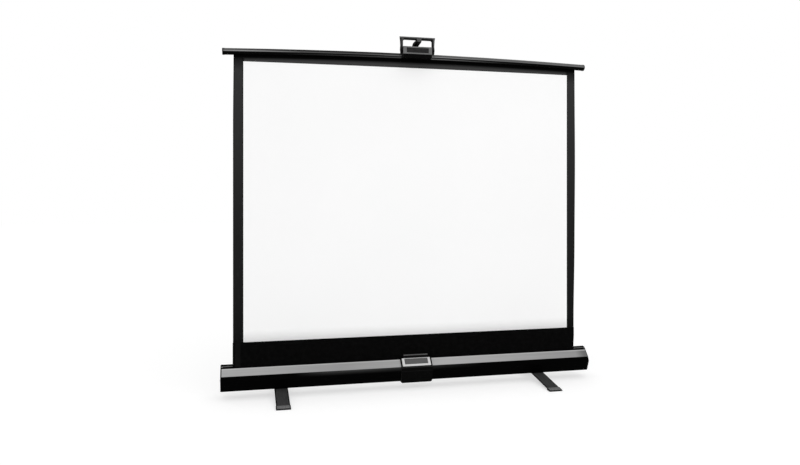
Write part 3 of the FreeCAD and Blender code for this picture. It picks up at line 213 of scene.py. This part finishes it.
def slide(tree, value, start, end, first=0.0, last=1.0):
    """Goes from first to last while the value goes from start to end, and stays there."""
    return add(tree, "MapRange", {"Value": value, 1: start, 2: end, 3: first,
                                  4: last}).outputs[0]


def between(tree, value, low, high, soft):
    """1 where the value lies between low and high, with soft edges, else 0."""
    return times(tree, slide(tree, value, low - soft, low + soft),
                 slide(tree, value, high - soft, high + soft, first=1.0, last=0.0))


def times(tree, *factors):
    product = factors[0]
    for factor in factors[1:]:
        product = math_of(tree, "MULTIPLY", product, factor)
    return product


def size_of(tree, value):
    return math_of(tree, "ABSOLUTE", value)


def facing_of(tree):
    """The three parts of the surface's own direction."""
    return axes_of(tree, add(tree, "TexCoord").outputs["Normal"])


def away_sheen_of(tree):
    """1 on what faces the back or the two ends, where a black gets a painted sheen as the
    room's reflection.
    """
    x, y = facing_of(tree)[:2]
    return math_of(tree, "MAXIMUM", slide(tree, y, 0.1, 0.5),
                   slide(tree, size_of(tree, x), 0.6, 0.9))


def bumped(tree, shader, height, depth, strength=1.0):
    made = add(tree, "Bump", {"Height": height, "Distance": depth, "Strength": strength})
    tree.links.new(made.outputs["Normal"], shader.inputs["Normal"])


def coloured(tree, shader, colour):
    tree.links.new(colour, shader.inputs["Base Color"])


def roughened(tree, shader, factor, low, high):
    made = add(tree, "MapRange", {"Value": factor, 3: low, 4: high})
    tree.links.new(made.outputs[0], shader.inputs["Roughness"])


# Materials

def moulded_plastic(name, tone, gloss, rough=0.5, grain=1500, spread=0.25, away_sheen=None):
    """Moulded plastic with a fine spark-eroded grain and slightly uneven tone."""
    material, tree, shader = new_material(name, gloss)
    place = place_of(tree)
    fine = speckle(tree, place, grain, detail=1.0)
    broad = speckle(tree, place, 22, detail=3.0)
    colour = ramp(tree, broad, [(0.3, tone * (1 - spread)), (0.7, tone * (1 + spread))])
    # Faces turned to the back or the ends can get a painted sheen of a lighter tone.
    if away_sheen:
        colour = mixed(tree, away_sheen_of(tree), colour,
                       ramp(tree, broad, [(0.3, away_sheen * (1 - spread)),
                                          (0.7, away_sheen * (1 + spread))]))
    coloured(tree, shader, colour)
    roughened(tree, shader, broad, rough - 0.08, rough + 0.08)
    bumped(tree, shader, fine, depth=0.00012, strength=0.5)
    return material


def drawn_metal(name, tone, gloss, rough, metallic=0.0, along="X", spread=0.2):
    """Anodised or mill-finished metal with fine lines along the way it was drawn."""
    material, tree, shader = new_material(name, gloss, rough, metallic)
    scale = [900, 900, 900]
    scale["XYZ".index(along)] = 3
    lines = drawn_out(tree, place_of(tree), scale)
    coloured(tree, shader, ramp(tree, lines, [(0.25, tone * (1 - spread)),
                                              (0.75, tone * (1 + spread))]))
    roughened(tree, shader, lines, rough - 0.06, rough + 0.06)
    bumped(tree, shader, lines, depth=0.00004, strength=0.4)
    return material


def collar_plastic():
    """Black moulded collar with two faint light lines across its front."""
    material, tree, shader = new_material("plastic_black_collar", gloss=0.02, rough=0.5)
    place = place_of(tree)
    y, z = axes_of(tree, place)[1:3]
    fine = speckle(tree, place, 1300, detail=1.0)
    broad = speckle(tree, place, 25, detail=3.0)
    base = ramp(tree, broad, [(0.3, 0.0009), (0.7, 0.0017)])
    front = slide(tree, y, *FRONT_FACES)
    under_plate = times(tree, front, between(tree, z, *COLLAR_UNDER_PLATE, soft=0.0004))
    waist = times(tree, front, between(tree, z, *COLLAR_WAIST, soft=0.0005))
    tone = mixed(tree, times(tree, under_plate, 0.9), base, 0.022)
    tone = mixed(tree, times(tree, waist, 0.8), tone, 0.007)
    # Faces turned to the back or the ends get a painted sheen of a lighter tone.
    tone = mixed(tree, away_sheen_of(tree), tone, ramp(tree, broad, [(0.3, 0.014), (0.7, 0.021)]))
    coloured(tree, shader, tone)
    bumped(tree, shader, fine, depth=0.0001, strength=0.5)
    return material


def catch_plastic():
    """Black catch with a grey lip along its top, a painted highlight of its top edge."""
    material, tree, shader = new_material("plastic_catch", gloss=0.05, rough=0.5)
    place = place_of(tree)
    z = axes_of(tree, place)[2]
    mottle = speckle(tree, place, 260, detail=3.0)
    # The grey lip is a painted highlight along the catch's top edge.
    lip = slide(tree, z, CATCH_LIP - 0.0003, CATCH_LIP + 0.0003)
    coloured(tree, shader, mixed(tree, lip, 0.0015,
                                 ramp(tree, mottle, [(0.3, 0.090), (0.7, 0.125)])))
    bumped(tree, shader, mottle, depth=0.0001, strength=0.4)
    return material


def case_metal():
    """Black anodised case, painted lighter behind and at its ends as a sheen, with a light grey
    satin band painted along its bevel as a reflection.
    """
    material, tree, shader = new_material("case_black_reflection_band", gloss=0.005)
    place = place_of(tree)
    x, y, z = axes_of(tree, place)[:3]
    lines = drawn_out(tree, place, (2.5, 700, 700), detail=4.0, rough=0.75)
    # The light band along the bevel is a painted reflection, uneven along the case and darker
    # at its ends.
    band = times(tree, slide(tree, y, *BAND_DEPTH), between(tree, z, *BAND_HEIGHT, soft=0.0004),
                 slide(tree, size_of(tree, x), *BAND_ENDS))
    band_reflection = ramp(tree, slide(tree, x, -HALF_LENGTH, HALF_LENGTH),
                  [(0.0, 0.38), (0.10, 0.40), (0.30, 0.315), (0.60, 0.43), (0.86, 0.335),
                   (0.965, 0.300), (0.99, 0.150)])
    band_reflection = mixed(tree, 0.35, band_reflection, ramp(tree, lines, [(0.28, 0.7), (0.72, 1.25)]),
                   "MULTIPLY")
    # A painted highlight along the band's top edge.
    lip = between(tree, z, *BAND_LIP, soft=0.0006)
    band_reflection = mixed(tree, times(tree, lip, 0.8), band_reflection, 0.55)
    # A painted highlight on the rounded shoulder under the band, on its front.
    fall = slide(tree, z, *SHOULDER_HIGHLIGHT_HEIGHT)
    shoulder_highlight = times(tree, fall, fall, slide(tree, y, *FRONT_FACES),
                 slide(tree, x, *SHOULDER_HIGHLIGHT_LEFT), slide(tree, x, *SHOULDER_HIGHLIGHT_RIGHT, first=1.0, last=0.0))
    black = ramp(tree, lines, [(0.3, 0.0006), (0.7, 0.0014)])
    black = mixed(tree, shoulder_highlight, black, 0.052)
    # A painted highlight line along the top edge of the case.
    edge = times(tree, slide(tree, y, *CASE_TOP_DEPTH),
                 between(tree, z, *CASE_TOP_EDGE, soft=0.0004))
    black = mixed(tree, edge, black, 0.13)
    # Faces turned to the back or the ends get a painted sheen.
    black = mixed(tree, away_sheen_of(tree), black, ramp(tree, lines, [(0.3, 0.007), (0.7, 0.012)]))
    coloured(tree, shader, mixed(tree, band, black, band_reflection))
    roughened(tree, shader, lines, low=0.32, high=0.5)
    bumped(tree, shader, lines, depth=0.00003, strength=0.35)
    return material


def bar_metal():
    """Glossy black tube with light lines along it, as a bright room draws on a round bar."""
    material, tree, shader = new_material("bar_gloss_black", gloss=0.02, rough=0.3)
    place = place_of(tree)
    x = axes_of(tree, place)[0]
    along = slide(tree, x, -HALF_LENGTH, HALF_LENGTH)
    up = slide(tree, facing_of(tree)[2], -1.0, 1.0)
    lines = drawn_out(tree, place, (1.2, 500, 500))
    main = times(tree, between(tree, up, *BAR_MAIN_LINE, soft=0.045),
                 ramp(tree, along, [(0.0, 0.26), (0.05, 0.33), (0.1, 0.27), (0.2, 0.10),
                                    (0.36, 0.09), (0.57, 0.25), (0.78, 0.15), (1.0, 0.21)]))
    upper = times(tree, between(tree, up, *BAR_UPPER_LINE, soft=0.03),
                  ramp(tree, along, [(0.0, 0.12), (0.03, 0.09), (0.08, 0.06), (0.2, 0.020),
                                     (0.42, 0.02), (0.6, 0.12), (1.0, 0.14)]))
    lower = times(tree, between(tree, up, *BAR_LOWER_LINE, soft=0.05),
                  ramp(tree, along, [(0.15, 0.0), (0.4, 0.05), (0.57, 0.13), (0.75, 0.01),
                                     (0.85, 0.0)]))
    bright = math_of(tree, "ADD", main, math_of(tree, "ADD", upper, lower))
    bright = math_of(tree, "ADD", bright, 0.0008)
    tips = slide(tree, size_of(tree, x), *BAR_ENDS, first=1.0, last=0.05)
    grain = slide(tree, lines, 0.3, 0.7, first=0.8, last=1.1)
    coloured(tree, shader, times(tree, bright, tips, grain))
    bumped(tree, shader, lines, depth=0.00003, strength=0.3)
    return material


def plate_metal():
    """Light brushed frame."""
    material, tree, shader = new_material("plate_brushed", gloss=0.3, rough=0.45)
    lines = drawn_out(tree, place_of(tree), (60, 1600, 1600))
    coloured(tree, shader, ramp(tree, lines, [(0.3, 0.56), (0.7, 0.70)]))
    bumped(tree, shader, lines, depth=0.00003, strength=0.5)
    return material


def plate_face():
    """Bare dark plate, faintly brushed."""
    material, tree, shader = new_material("plate_bare", gloss=0.1, rough=0.45)
    lines = drawn_out(tree, place_of(tree), (40, 1800, 1800))
    coloured(tree, shader, ramp(tree, lines, [(0.3, 0.080), (0.7, 0.125)]))
    bumped(tree, shader, lines, depth=0.00002, strength=0.4)
    return material


def label_face():
    """Bare recessed field of the handle, darker than the frame round it."""
    material, tree, shader = new_material("label_bare", gloss=0.04, rough=0.5)
    place = place_of(tree)
    cloud = drawn_out(tree, place, (60, 60, 200), rough=0.6)
    coloured(tree, shader, ramp(tree, cloud, [(0.3, 0.014), (0.7, 0.026)]))
    bumped(tree, shader, speckle(tree, place, 1500, detail=1.0), depth=0.00006, strength=0.4)
    return material


def loop_plastic():
    """Black carrying handle with a grey sheen along its top and down its two posts."""
    material, tree, shader = new_material("plastic_black_handle", gloss=0.04, rough=0.45)
    place = place_of(tree)
    axes = axes_of(tree, place)
    x, z = axes["X"], axes["Z"]
    rail = slide(tree, z, *HANDLE_RAIL)
    left = times(tree, between(tree, x, *HANDLE_LEFT_POST, soft=0.0010),
                 slide(tree, z, *HANDLE_LEFT_FALL, first=0.0, last=0.55))
    right = times(tree, between(tree, x, *HANDLE_RIGHT_POST, soft=0.0010),
                  slide(tree, z, *HANDLE_RIGHT_FALL, first=0.0, last=0.8))
    sheen = math_of(tree, "MAXIMUM", rail, math_of(tree, "MAXIMUM", left, right))
    cloud = speckle(tree, place, 160, detail=3.0)
    grey = ramp(tree, cloud, [(0.3, 0.070), (0.7, 0.120)])
    coloured(tree, shader, mixed(tree, sheen, 0.0022, grey))
    bumped(tree, shader, speckle(tree, place, 1500, detail=1.0), depth=0.0001, strength=0.5)
    return material


def head_metal():
    """Black gooseneck whose front lip is grey."""
    material, tree, shader = new_material("mast_head_black", gloss=0.004, rough=0.5)
    place = place_of(tree)
    mottle = speckle(tree, place, 240, detail=3.0)
    lip = slide(tree, axes_of(tree, place)[1], *HEAD_LIP)
    black = ramp(tree, mottle, [(0.3, 0.0008), (0.7, 0.0020)])
    grey = ramp(tree, mottle, [(0.3, 0.060), (0.7, 0.105)])
    coloured(tree, shader, mixed(tree, lip, black, grey))
    roughened(tree, shader, mottle, low=0.32, high=0.5)
    bumped(tree, shader, mottle, depth=0.00008, strength=0.4)
    return material


def beside_foot(tree, place):
    """How far a point lies to the side of its foot's middle line."""
    reach = size_of(tree, axes_of(tree, place)[0])
    return size_of(tree, math_of(tree, "SUBTRACT", reach, FOOT_LINE))


def inside_rim(tree, aside, rim):
    """0 on a foot's rim, and 1 further in."""
    return slide(tree, aside, FOOT_HALF - rim[0], FOOT_HALF - rim[1])


def foot_metal():
    """Dark powder coat brushed along the foot, nearly black on its edges and sides."""
    material, tree, shader = new_material("foot_powder_coat", gloss=0.04, rough=0.6)
    place = place_of(tree)
    middle = times(tree, inside_rim(tree, beside_foot(tree, place), FOOT_RIM),
                   slide(tree, facing_of(tree)[2], 0.5, 0.8))
    streaks = drawn_out(tree, place, (210, 26, 90), rough=0.6)
    grain = speckle(tree, place, 420, detail=2.0)
    coat = mixed(tree, 0.45, ramp(tree, streaks, [(0.3, 0.022), (0.7, 0.064)]),
                 ramp(tree, grain, [(0.35, 0.028), (0.65, 0.054)]))
    coloured(tree, shader, mixed(tree, middle, 0.002, coat))
    bumped(tree, shader, grain, depth=0.0001, strength=0.6)
    return material


def foot_tip():
    """Grey end cap, mottled on top, with a dark rim."""
    material, tree, shader = new_material("foot_tip_plastic", gloss=0.05, rough=0.6)
    place = place_of(tree)
    middle = times(tree, inside_rim(tree, beside_foot(tree, place), TIP_RIM),
                   slide(tree, size_of(tree, axes_of(tree, place)[1]), *TIP_END),
                   slide(tree, facing_of(tree)[2], 0.6, 0.85))
    tip_mottle = speckle(tree, place, 230, detail=3.0)
    coloured(tree, shader, mixed(tree, middle, 0.003,
                                 ramp(tree, tip_mottle, [(0.3, 0.085), (0.7, 0.200)])))
    bumped(tree, shader, tip_mottle, depth=0.0002, strength=0.5)
    return material


def white_cloth():
    """Matte white projection coating with the finest cloth texture in it."""
    material, tree, shader = new_material("cloth_white_matte", gloss=0.1, rough=0.9)
    place = place_of(tree)
    broad = speckle(tree, place, 2.2, detail=2.0)
    coloured(tree, shader, ramp(tree, broad, [(0.3, 0.945), (0.7, 0.96)]))
    warp = add(tree, "TexWave", {"Vector": place, "Scale": 500.0}, bands_direction="X")
    weft = add(tree, "TexWave", {"Vector": place, "Scale": 500.0}, bands_direction="Z")
    weave = math_of(tree, "ADD", warp.outputs["Fac"], weft.outputs["Fac"])
    bumped(tree, shader, weave, depth=0.00004, strength=0.3)
    return material


def border_cloth():
    """Black printed border: a soft sheen that fades downwards, darker along its edges."""
    material, tree, shader = new_material("cloth_black_border", gloss=0.03, rough=0.85)
    place = place_of(tree)
    axes = axes_of(tree, place)
    reach, z = size_of(tree, axes["X"]), axes["Z"]
    fade = ramp(tree, slide(tree, z, *BORDER_HEIGHT),
                [(0.0, 0.0065), (0.12, 0.010), (0.45, 0.017), (0.8, 0.031), (0.96, 0.036),
                 (0.975, 0.048)])
    grain = speckle(tree, place, 700, detail=2.0)
    fade = mixed(tree, 0.6, fade, ramp(tree, grain, [(0.3, 0.75), (0.7, 1.0)]), "MULTIPLY")
    # Darker lines along the border's outer hem and inner edge.
    edge = math_of(tree, "MAXIMUM", slide(tree, reach, *BORDER_HEM),
                   between(tree, reach, *BORDER_INNER_LINE, soft=0.0006))
    fade = mixed(tree, times(tree, edge, 0.6), fade, 0.006)
    bowed = math_of(tree, "ADD", z, times(tree, reach, reach, TOP_SAG / SHEET_HIGH.x ** 2))
    top_strip = slide(tree, bowed, *TOP_SHADE)
    corners = slide(tree, bowed, *CORNER_SHADE)
    shade = mixed(tree, slide(tree, reach, *CORNER_PLACE), top_strip, corners)
    coloured(tree, shader, mixed(tree, shade, 0.0008, fade))
    bumped(tree, shader, grain, depth=0.00005, strength=0.4)
    return material


def drop_cloth():
    """Black cloth under the white field, with a faint weave and a lighter stripe down one side.
    """
    material, tree, shader = new_material("cloth_black_drop", gloss=0.03, rough=0.85)
    place = place_of(tree)
    x = axes_of(tree, place)[0]
    cloud = speckle(tree, place, 60, detail=3.0)
    tone = ramp(tree, cloud, [(0.35, 0.0008), (0.7, 0.0024)])
    stripe = between(tree, x, *DROP_STRIPE, soft=0.002)
    coloured(tree, shader, mixed(tree, times(tree, stripe, 0.7), tone, 0.0065))
    bumped(tree, shader, speckle(tree, place, 700, detail=2.0), depth=0.00005, strength=0.4)
    return material


def backing_cloth():
    """Black opaque coating on the back of the sheet."""
    material, tree, shader = new_material("cloth_black_back", gloss=0.05, rough=0.8)
    place = place_of(tree)
    grain = speckle(tree, place, 650, detail=2.0)
    broad = speckle(tree, place, 3, detail=3.0)
    tone = mixed(tree, 0.5, ramp(tree, grain, [(0.3, 0.010), (0.7, 0.018)]),
                 ramp(tree, broad, [(0.3, 0.010), (0.7, 0.018)]))
    coloured(tree, shader, tone)
    bumped(tree, shader, grain, depth=0.00006, strength=0.5)
    return material


def dress_nodes():
    """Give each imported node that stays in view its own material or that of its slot."""
    by_slot = {
        "case_metal": case_metal(),
        "black_plastic": moulded_plastic("plastic_black", tone=0.0015, gloss=0.02, away_sheen=0.007),
        "grey_plastic": moulded_plastic("plastic_grey", tone=0.135, gloss=0.1, grain=1200,
                                        spread=0.2),
        "plate_metal": plate_metal(),
        "plate_face": plate_face(),
        "bar_metal": bar_metal(),
        "mast_metal": drawn_metal("mast_black", tone=0.012, gloss=0.3, rough=0.3, along="Z"),
        "steel": drawn_metal("steel_zinc", tone=0.5, gloss=0.5, rough=0.35, metallic=0.9),
        "dark_steel": foot_metal(),
        "foot_plastic": foot_tip(),
        "pad_rubber": moulded_plastic("pad_rubber", tone=0.012, gloss=0.05, rough=0.85,
                                      grain=700),
        "tube_metal": drawn_metal("tube_mill", tone=0.55, gloss=0.5, rough=0.4, metallic=0.9),
    }
    by_node = {
        "end_cap_left": by_slot["case_metal"],
        "end_cap_right": by_slot["case_metal"],
        "bar_tip_left": by_slot["bar_metal"],
        "bar_tip_right": by_slot["bar_metal"],
        "collar_catch": catch_plastic(),
        "handle_loop": loop_plastic(),
        "handle_label": label_face(),
        "mast_head": head_metal(),
    }
    by_node["collar_front"] = by_node["collar_rear"] = collar_plastic()
    for row in frame["record"]["subparts"]:
        name = row["node"]
        material = by_node.get(name, by_slot.get(row["material_slot"]))
        if material:
            for slot in frame["nodes"][name].material_slots:
                slot.material = material


# The cloth

def ripple(x, z):
    """How far the taut cloth wanders from its plane, a few tenths of a millimetre."""
    slow = math.sin(3.1 * x + 0.7) * math.sin(2.3 * z + 0.4)
    quick = math.sin(9.0 * x + 1.1) * math.sin(1.9 * z)
    return 0.00012 * slow + 0.00006 * quick


def top_of_cloth(x):
    return SHEET_HIGH.z - TOP_SAG * (x / SHEET_HIGH.x) ** 2


def top_of_field(x):
    return FIELD_TOP + FIELD_BULGE * max(0.0, 1 - (x / FIELD_HALF) ** 2)


def eased(value, start, end):
    """Rises smoothly from 0 to 1 while the value goes from start to end."""
    share = min(1.0, max(0.0, (value - start) / (end - start)))
    return share * share * (3 - 2 * share)


def sheet_side(z, right):
    """How far a side edge of the sheet wanders outwards from a straight line."""
    if right:
        belly = RIGHT_BELLY * math.exp(-((z - BELLY_HEIGHT) / BELLY_SPREAD) ** 2)
        return belly - RIGHT_NARROWING * eased(z, *RIGHT_NARROWS)
    return LEFT_OUT - LEFT_NARROWING * eased(z, *LEFT_NARROWS)


def drop_side(z, right):
    """The same for the black cloth below the white field."""
    if right:
        return DROP_RIGHT_OUT - DROP_NARROWING * eased(z, *DROP_NARROWS)
    return DROP_LEFT_OUT


def place_across(x, z, half, side):
    """The place of a grid column at a height: the borders follow the wandering edges."""
    share = max(0.0, (abs(x) - FIELD_HALF) / (half - FIELD_HALF))
    return x + math.copysign(share, x) * side(z, x > 0)


def columns(inner, outer):
    """Places across the cloth, with one at each side of the white field."""
    middle = [inner * (step / FIELD_COLUMNS)
              for step in range(-FIELD_COLUMNS, FIELD_COLUMNS + 1)]
    side = [inner + (outer - inner) * share for share in BORDER_SHARES]
    return [-place for place in reversed(side)] + middle + side


def panel(name, across, side, rows, front, back, materials, slot_of):
    """A thin closed cloth on a grid: front and back skins, and a rim that joins them."""
    mesh = bpy.data.meshes.new(name)
    shape = bmesh.new()
    skins = []
    for depth in (front, back):
        grid = [[shape.verts.new((place_across(x, row(x), across[-1], side),
                                  depth + ripple(x, row(x)), row(x))) for x in across]
                for row in rows]
        skins.append(grid)
    last_row = len(rows) - 1
    last_column = len(across) - 1
    for skin, grid in enumerate(skins):
        for low in range(last_row):
            for left in range(last_column):
                corners = [grid[low][left], grid[low][left + 1],
                           grid[low + 1][left + 1], grid[low + 1][left]]
                if skin:
                    corners.reverse()
                face = shape.faces.new(corners)
                face.smooth = True
                face.material_index = BACKING if skin else slot_of(low, left)
    border = ([(0, i) for i in range(last_column)]
              + [(i, last_column) for i in range(last_row)]
              + [(last_row, i) for i in range(last_column, 0, -1)]
              + [(i, 0) for i in range(last_row, 0, -1)])
    for here, there in zip(border, border[1:] + border[:1]):
        face = shape.faces.new((skins[0][there[0]][there[1]], skins[0][here[0]][here[1]],
                                skins[1][here[0]][here[1]], skins[1][there[0]][there[1]]))
        face.material_index = BACKING
    bmesh.ops.recalc_face_normals(shape, faces=shape.faces)
    shape.to_mesh(mesh)
    shape.free()
    for material in materials:
        mesh.materials.append(material)
    piece = bpy.data.objects.new(name, mesh)
    bpy.context.scene.collection.objects.link(piece)
    return piece


def hang(piece):
    """Let a cloth ride on the case, on a mesh of its own."""
    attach(piece, "case")
    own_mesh(piece)


def straight(z):
    """A line across the cloth at one height."""
    return lambda x: z


def level(share, low, high):
    """A row of the grid that runs between two lines across the cloth."""
    return lambda x: low(x) + share * (high(x) - low(x))


def make_screen():
    across = columns(FIELD_HALF, SHEET_HIGH.x)
    rows = [level(step / FIELD_ROWS, straight(SHEET_LOW.z), top_of_field)
            for step in range(FIELD_ROWS + 1)]
    rows += [level(step / BORDER_ROWS, top_of_field, top_of_cloth)
             for step in range(1, BORDER_ROWS + 1)]
    side = len(BORDER_SHARES)

    def slot_of(low, left):
        inside = side <= left < len(across) - 1 - side
        return FIELD if inside and low < FIELD_ROWS else BORDER

    piece = panel("screen_cloth", across, sheet_side, rows, SHEET_LOW.y, SHEET_HIGH.y,
                  [white_cloth(), border_cloth(), backing_cloth()], slot_of)
    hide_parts("screen_sheet", "mask_left", "mask_right", "mask_top")
    hang(piece)


def make_drop():
    across = columns(FIELD_HALF, DROP_HIGH.x)
    rows = [level(step / DROP_ROWS, straight(DROP_LOW.z), straight(DROP_HIGH.z))
            for step in range(DROP_ROWS + 1)]
    black = drop_cloth()
    piece = panel("drop_cloth", across, drop_side, rows, DROP_LOW.y, DROP_HIGH.y,
                  [black, black, backing_cloth()], lambda low, left: FIELD)
    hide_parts("black_drop")
    hang(piece)


# Surroundings

def seen_of(tree):
    """1 for what is seen, straight or by way of gloss or glass, and 0 for light."""
    light = add(tree, "LightPath")
    seen = math_of(tree, "MAXIMUM", light.outputs["Is Camera Ray"],
                   light.outputs["Is Glossy Ray"])
    return math_of(tree, "MAXIMUM", seen, light.outputs["Is Transmission Ray"])


def make_floor():
    bpy.ops.mesh.primitive_grid_add(x_subdivisions=8, y_subdivisions=8, size=40)
    floor = bpy.context.object
    floor.name = "floor"
    material, tree, shader = new_material("floor_white", gloss=0.0, rough=0.9)
    seen = seen_of(tree)
    cloud = ramp(tree, speckle(tree, place_of(tree), 0.8), [(0.3, 0.92), (0.7, 0.94)])
    coloured(tree, shader, mixed(tree, seen, cloud, FLOOR_SEEN_TONE))
    lift = add(tree, "Emission", {"Strength": times(tree, seen, FLOOR_SEEN_GLOW)})
    both = add(tree, "AddShader", {0: shader.outputs[0], 1: lift.outputs[0]})
    tree.links.new(both.outputs[0], tree.nodes["Material Output"].inputs["Surface"])
    floor.data.materials.append(material)


def make_world():
    world = bpy.data.worlds.new("studio")
    bpy.context.scene.world = world
    world.use_nodes = True
    tree = world.node_tree
    strength = slide(tree, seen_of(tree), 0.0, 1.0, ROOM_LIGHT, ROOM_SEEN)
    tree.links.new(strength, tree.nodes["Background"].inputs["Strength"])
    tree.nodes["Background"].inputs["Color"].default_value = (1, 1, 1, 1)


def make_softbox(name, place, size, power):
    light = bpy.data.lights.new(name, "AREA")
    light.shape = "RECTANGLE"
    light.size, light.size_y = size
    light.energy = power
    lamp = bpy.data.objects.new(name, light)
    lamp.location = place
    aim = Vector((0, 0, 0.7)) - Vector(place)
    lamp.rotation_euler = aim.to_track_quat("-Z", "Y").to_euler()
    bpy.context.scene.collection.objects.link(lamp)


def make_camera():
    lens = bpy.data.cameras.new("camera")
    lens.lens = 30.74
    lens.sensor_width = 36
    lens.shift_x = -0.0025
    lens.shift_y = -0.04375
    camera = bpy.data.objects.new("camera", lens)
    camera.location = (-0.7385, -3.0005, 0.852)
    camera.rotation_euler = (math.radians(90), 0, math.radians(-12.9))
    bpy.context.scene.collection.objects.link(camera)
    bpy.context.scene.camera = camera


dress_nodes()
make_screen()
make_drop()
make_floor()
make_world()
make_softbox("softbox_front", place=(0.4, -4.2, 1.4), size=(3.2, 1.8), power=22)
make_softbox("softbox_top", place=(0.6, -0.8, 3.6), size=(3.0, 1.2), power=6)
make_camera()
bpy.context.scene.view_settings.view_transform = "Standard"
